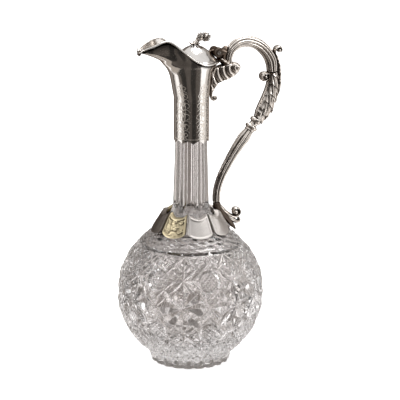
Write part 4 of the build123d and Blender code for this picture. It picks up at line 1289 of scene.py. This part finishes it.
# cloths round the jug, which only silver and glass show: name, turns from the photographer's side
# in degrees, tone, and rows of radius and height in metres
CARDS = [
    ("front_card_1", -63, -44, "#67615c", LOW_CARD),
    ("front_card_2", -44, -18, "#343230", LOW_CARD),
    ("front_card_3", -18, 4, "#5a5551", LOW_CARD),
    ("front_card_4", 4, 30, "#343230", LOW_CARD),
    ("front_card_5", 30, 57, "#5a5551", LOW_CARD),
    ("edge_card_left", -100, -92, "#d3cfcc", HIGH_CARD),
    ("back_card_1", -118, -100, "#6a6663", HIGH_CARD),
    ("back_card_2", -148, -118, "#96918d", HIGH_CARD),
    ("back_card_3", -184, -148, "#8f8a86", HIGH_CARD),
    ("back_card_4", 92, 112, "#d0ccc8", HIGH_CARD),
    ("back_card_5", 112, 124, "#7c7874", HIGH_CARD),
    ("back_card_6", 124, 150, "#c8c4c0", HIGH_CARD),
    ("back_card_7", 154, 166, "#7c7874", HIGH_CARD),
    ("table_runner", -185, -140, "#c0bab5", ((0.1, 0.001), (0.3, 0.001))),
    ("under_foot", -180, 179.9, "#ccc7c2", ((0.0002, 0.0003), (0.031, 0.0003))),
    ("apron", -116, 57, "#aaa39c", ((0.06, 0.001), (0.28, 0.001))),
]
CARDS += [(f"table_patch_{k}", 60 * k + 12, 60 * k + 36, "#7f7a75", PATCH) for k in range(6)]
# lamps: name, turn in degrees, height, distance, width and height in metres, and watts
LAMPS = (
    ("softbox_left", -78, 1.1, 1.4, 0.35, 0.9, 8),
    ("softbox_right", 75, 0.9, 1.4, 0.3, 0.8, 6),
    ("softbox_top", 150, 1.6, 0.5, 0.9, 0.9, 16),
)
LAMPS_AIM = (0, 0, 0.18)
CAMERA = dict(lens=252.8, sensor=36.0, aim=(7.3, -3.4, 147.6), roll=0.37)


def direct_rays(tree):
    """Kinds of ray, and a value of 1 for the camera's rays, mirrored and bent ones included."""
    path = add(tree, "ShaderNodeLightPath")
    seen = path.outputs["Is Camera Ray"]
    for kind in ("Is Glossy Ray", "Is Transmission Ray"):
        rays = {0: seen, 1: path.outputs[kind]}
        seen = add(tree, "ShaderNodeMath", rays, operation="MAXIMUM").outputs[0]
    return path, seen


def matt_tone(name, code):
    """A matt surface without any shine."""
    material, tree, surface = shader(name, Roughness=1.0)
    surface.inputs["Base Color"].default_value = linear(code)
    surface.inputs["Specular IOR Level"].default_value = 0.0
    return material, tree, surface


def flat_object(name, verts, faces, material):
    """An object of the stage, in metres."""
    mesh = bpy.data.meshes.new(name)
    mesh.from_pydata(verts, [], faces)
    mesh.materials.append(material)
    obj = bpy.data.objects.new(name, mesh)
    bpy.context.scene.collection.objects.link(obj)
    return obj


class JUG_OT_stage(bpy.types.Operator):
    """White paper, soft lamps and the camera"""

    bl_idname = "jug.stage"
    bl_label = "Stage"

    def execute(self, context):
        s = context.scene.jug_stage
        scene = context.scene
        scene.view_settings.view_transform = "Standard"
        # the paper glows a little for what is seen, so that it comes out white
        material, tree, surface = matt_tone("background paper, matt", "#f4f4f4")
        path, seen = direct_rays(tree)
        glow = add(tree, "ShaderNodeEmission", {"Color": linear(s.paper)})
        lift = add(tree, "ShaderNodeMath", {0: seen, 1: 0.32}, operation="MULTIPLY")
        for kind, more in (("Is Camera Ray", 0.35), ("Is Transmission Ray", 0.16)):
            extra = {0: path.outputs[kind], 1: more, 2: lift.outputs[0]}
            lift = add(tree, "ShaderNodeMath", extra, operation="MULTIPLY_ADD")
        tree.links.new(lift.outputs[0], glow.inputs["Strength"])
        both = add(tree, "ShaderNodeAddShader", {0: surface.outputs[0], 1: glow.outputs[0]})
        out = next(n for n in tree.nodes if n.bl_idname == "ShaderNodeOutputMaterial")
        tree.links.new(both.outputs[0], out.inputs["Surface"])
        corners = [(-6, -6, 0), (6, -6, 0), (6, 6, 0), (-6, 6, 0)]
        flat_object("paper_floor", corners, [(0, 1, 2, 3)], material)
        world = bpy.data.worlds.new("studio")
        scene.world = world
        world.use_nodes = True
        tree = world.node_tree
        tree.nodes.clear()
        soft = add(tree, "ShaderNodeBackground", {"Color": linear("#dedcda"), "Strength": 0.9})
        _path, seen = direct_rays(tree)
        white = add(tree, "ShaderNodeBackground", {"Color": linear(s.paper), "Strength": 1.0})
        mix = add(tree, "ShaderNodeMixShader", {0: seen, 1: soft.outputs[0], 2: white.outputs[0]})
        add(tree, "ShaderNodeOutputWorld", {"Surface": mix.outputs[0]})
        # bright metal and glass need dark round them to show: the camera sees no card itself, the
        # apron is only mirrored, and the patches and the disc under the foot only show through glass
        for name, near, far, tone, rows in CARDS:
            matt, _tree, _surface = matt_tone(name.replace("_", " ") + ", matt cloth", tone)
            turns = np.radians(np.linspace(near, far, 24) + s.azimuth - 90)
            verts = [(r * cos(t), r * sin(t), z) for r, z in rows for t in turns]
            faces = wrap_faces(len(rows), len(turns), close_cols=False).tolist()
            card = flat_object(name, verts, faces, matt)
            card.visible_camera = card.visible_shadow = card.visible_diffuse = False
            card.visible_transmission = name != "apron"
            card.visible_glossy = not name.startswith(("table_patch", "under_foot"))
        for name, turn, height, far, width, tall, watts in LAMPS:
            lamp = bpy.data.lights.new(name, "AREA")
            lamp.shape = "RECTANGLE"
            lamp.size, lamp.size_y, lamp.energy = width, tall, watts
            obj = bpy.data.objects.new(name, lamp)
            scene.collection.objects.link(obj)
            t = radians(turn + s.azimuth - 90)
            obj.location = (far * cos(t), far * sin(t), height)
            obj.rotation_euler = (Vector(LAMPS_AIM) - obj.location).to_track_quat("-Z", "Y").to_euler()
        camera = bpy.data.cameras.new("camera")
        camera.lens, camera.sensor_width = CAMERA["lens"], CAMERA["sensor"]
        eye = bpy.data.objects.new("camera", camera)
        scene.collection.objects.link(eye)
        a, e = radians(s.azimuth), radians(s.elevation)
        aim = Vector(CAMERA["aim"]) * MM
        eye.location = aim + s.distance * MM * Vector((sin(a) * cos(e), -cos(a) * cos(e), sin(e)))
        look = (aim - eye.location).to_track_quat("-Z", "Y").to_matrix().to_4x4()
        roll = Matrix.Rotation(radians(CAMERA["roll"]), 4, "Z")
        eye.matrix_world = Matrix.Translation(eye.location) @ look @ roll
        camera.clip_end = 20
        scene.camera = eye
        return {"FINISHED"}


# ------------------------------------------------------------------ panel
STEPS = (
    JUG_OT_stage,
    JUG_OT_glass,
    JUG_OT_neck_mount,
    JUG_OT_lid,
    JUG_OT_hinge,
    JUG_OT_handle,
    JUG_OT_handle_foot,
    JUG_OT_calyx,
)


class JUG_PT_panel(bpy.types.Panel):
    """Lists the jug's pieces"""

    bl_idname = "JUG_PT_panel"
    bl_label = "Claret jug"
    bl_space_type = "VIEW_3D"
    bl_region_type = "UI"
    bl_category = "Claret jug"

    def draw(self, context):
        for step in STEPS:
            self.layout.operator(step.bl_idname)
        for group in ("jug_glass", "jug_mount", "jug_stage"):
            values = getattr(context.scene, group)
            for key in values.__annotations__:
                self.layout.prop(values, key)


GROUPS = {"jug_glass": JUG_PG_glass, "jug_mount": JUG_PG_mount, "jug_stage": JUG_PG_stage}


def register():
    for cls in (*GROUPS.values(), *STEPS, JUG_PT_panel):
        bpy.utils.register_class(cls)
    for name, cls in GROUPS.items():
        setattr(bpy.types.Scene, name, PointerProperty(type=cls))


def unregister():
    for name in GROUPS:
        delattr(bpy.types.Scene, name)
    for cls in reversed((*GROUPS.values(), *STEPS, JUG_PT_panel)):
        bpy.utils.unregister_class(cls)


def main():
    register()
    for step in STEPS:
        group, name = step.bl_idname.split(".")
        getattr(getattr(bpy.ops, group), name)()


if __name__ == "__main__":
    main()
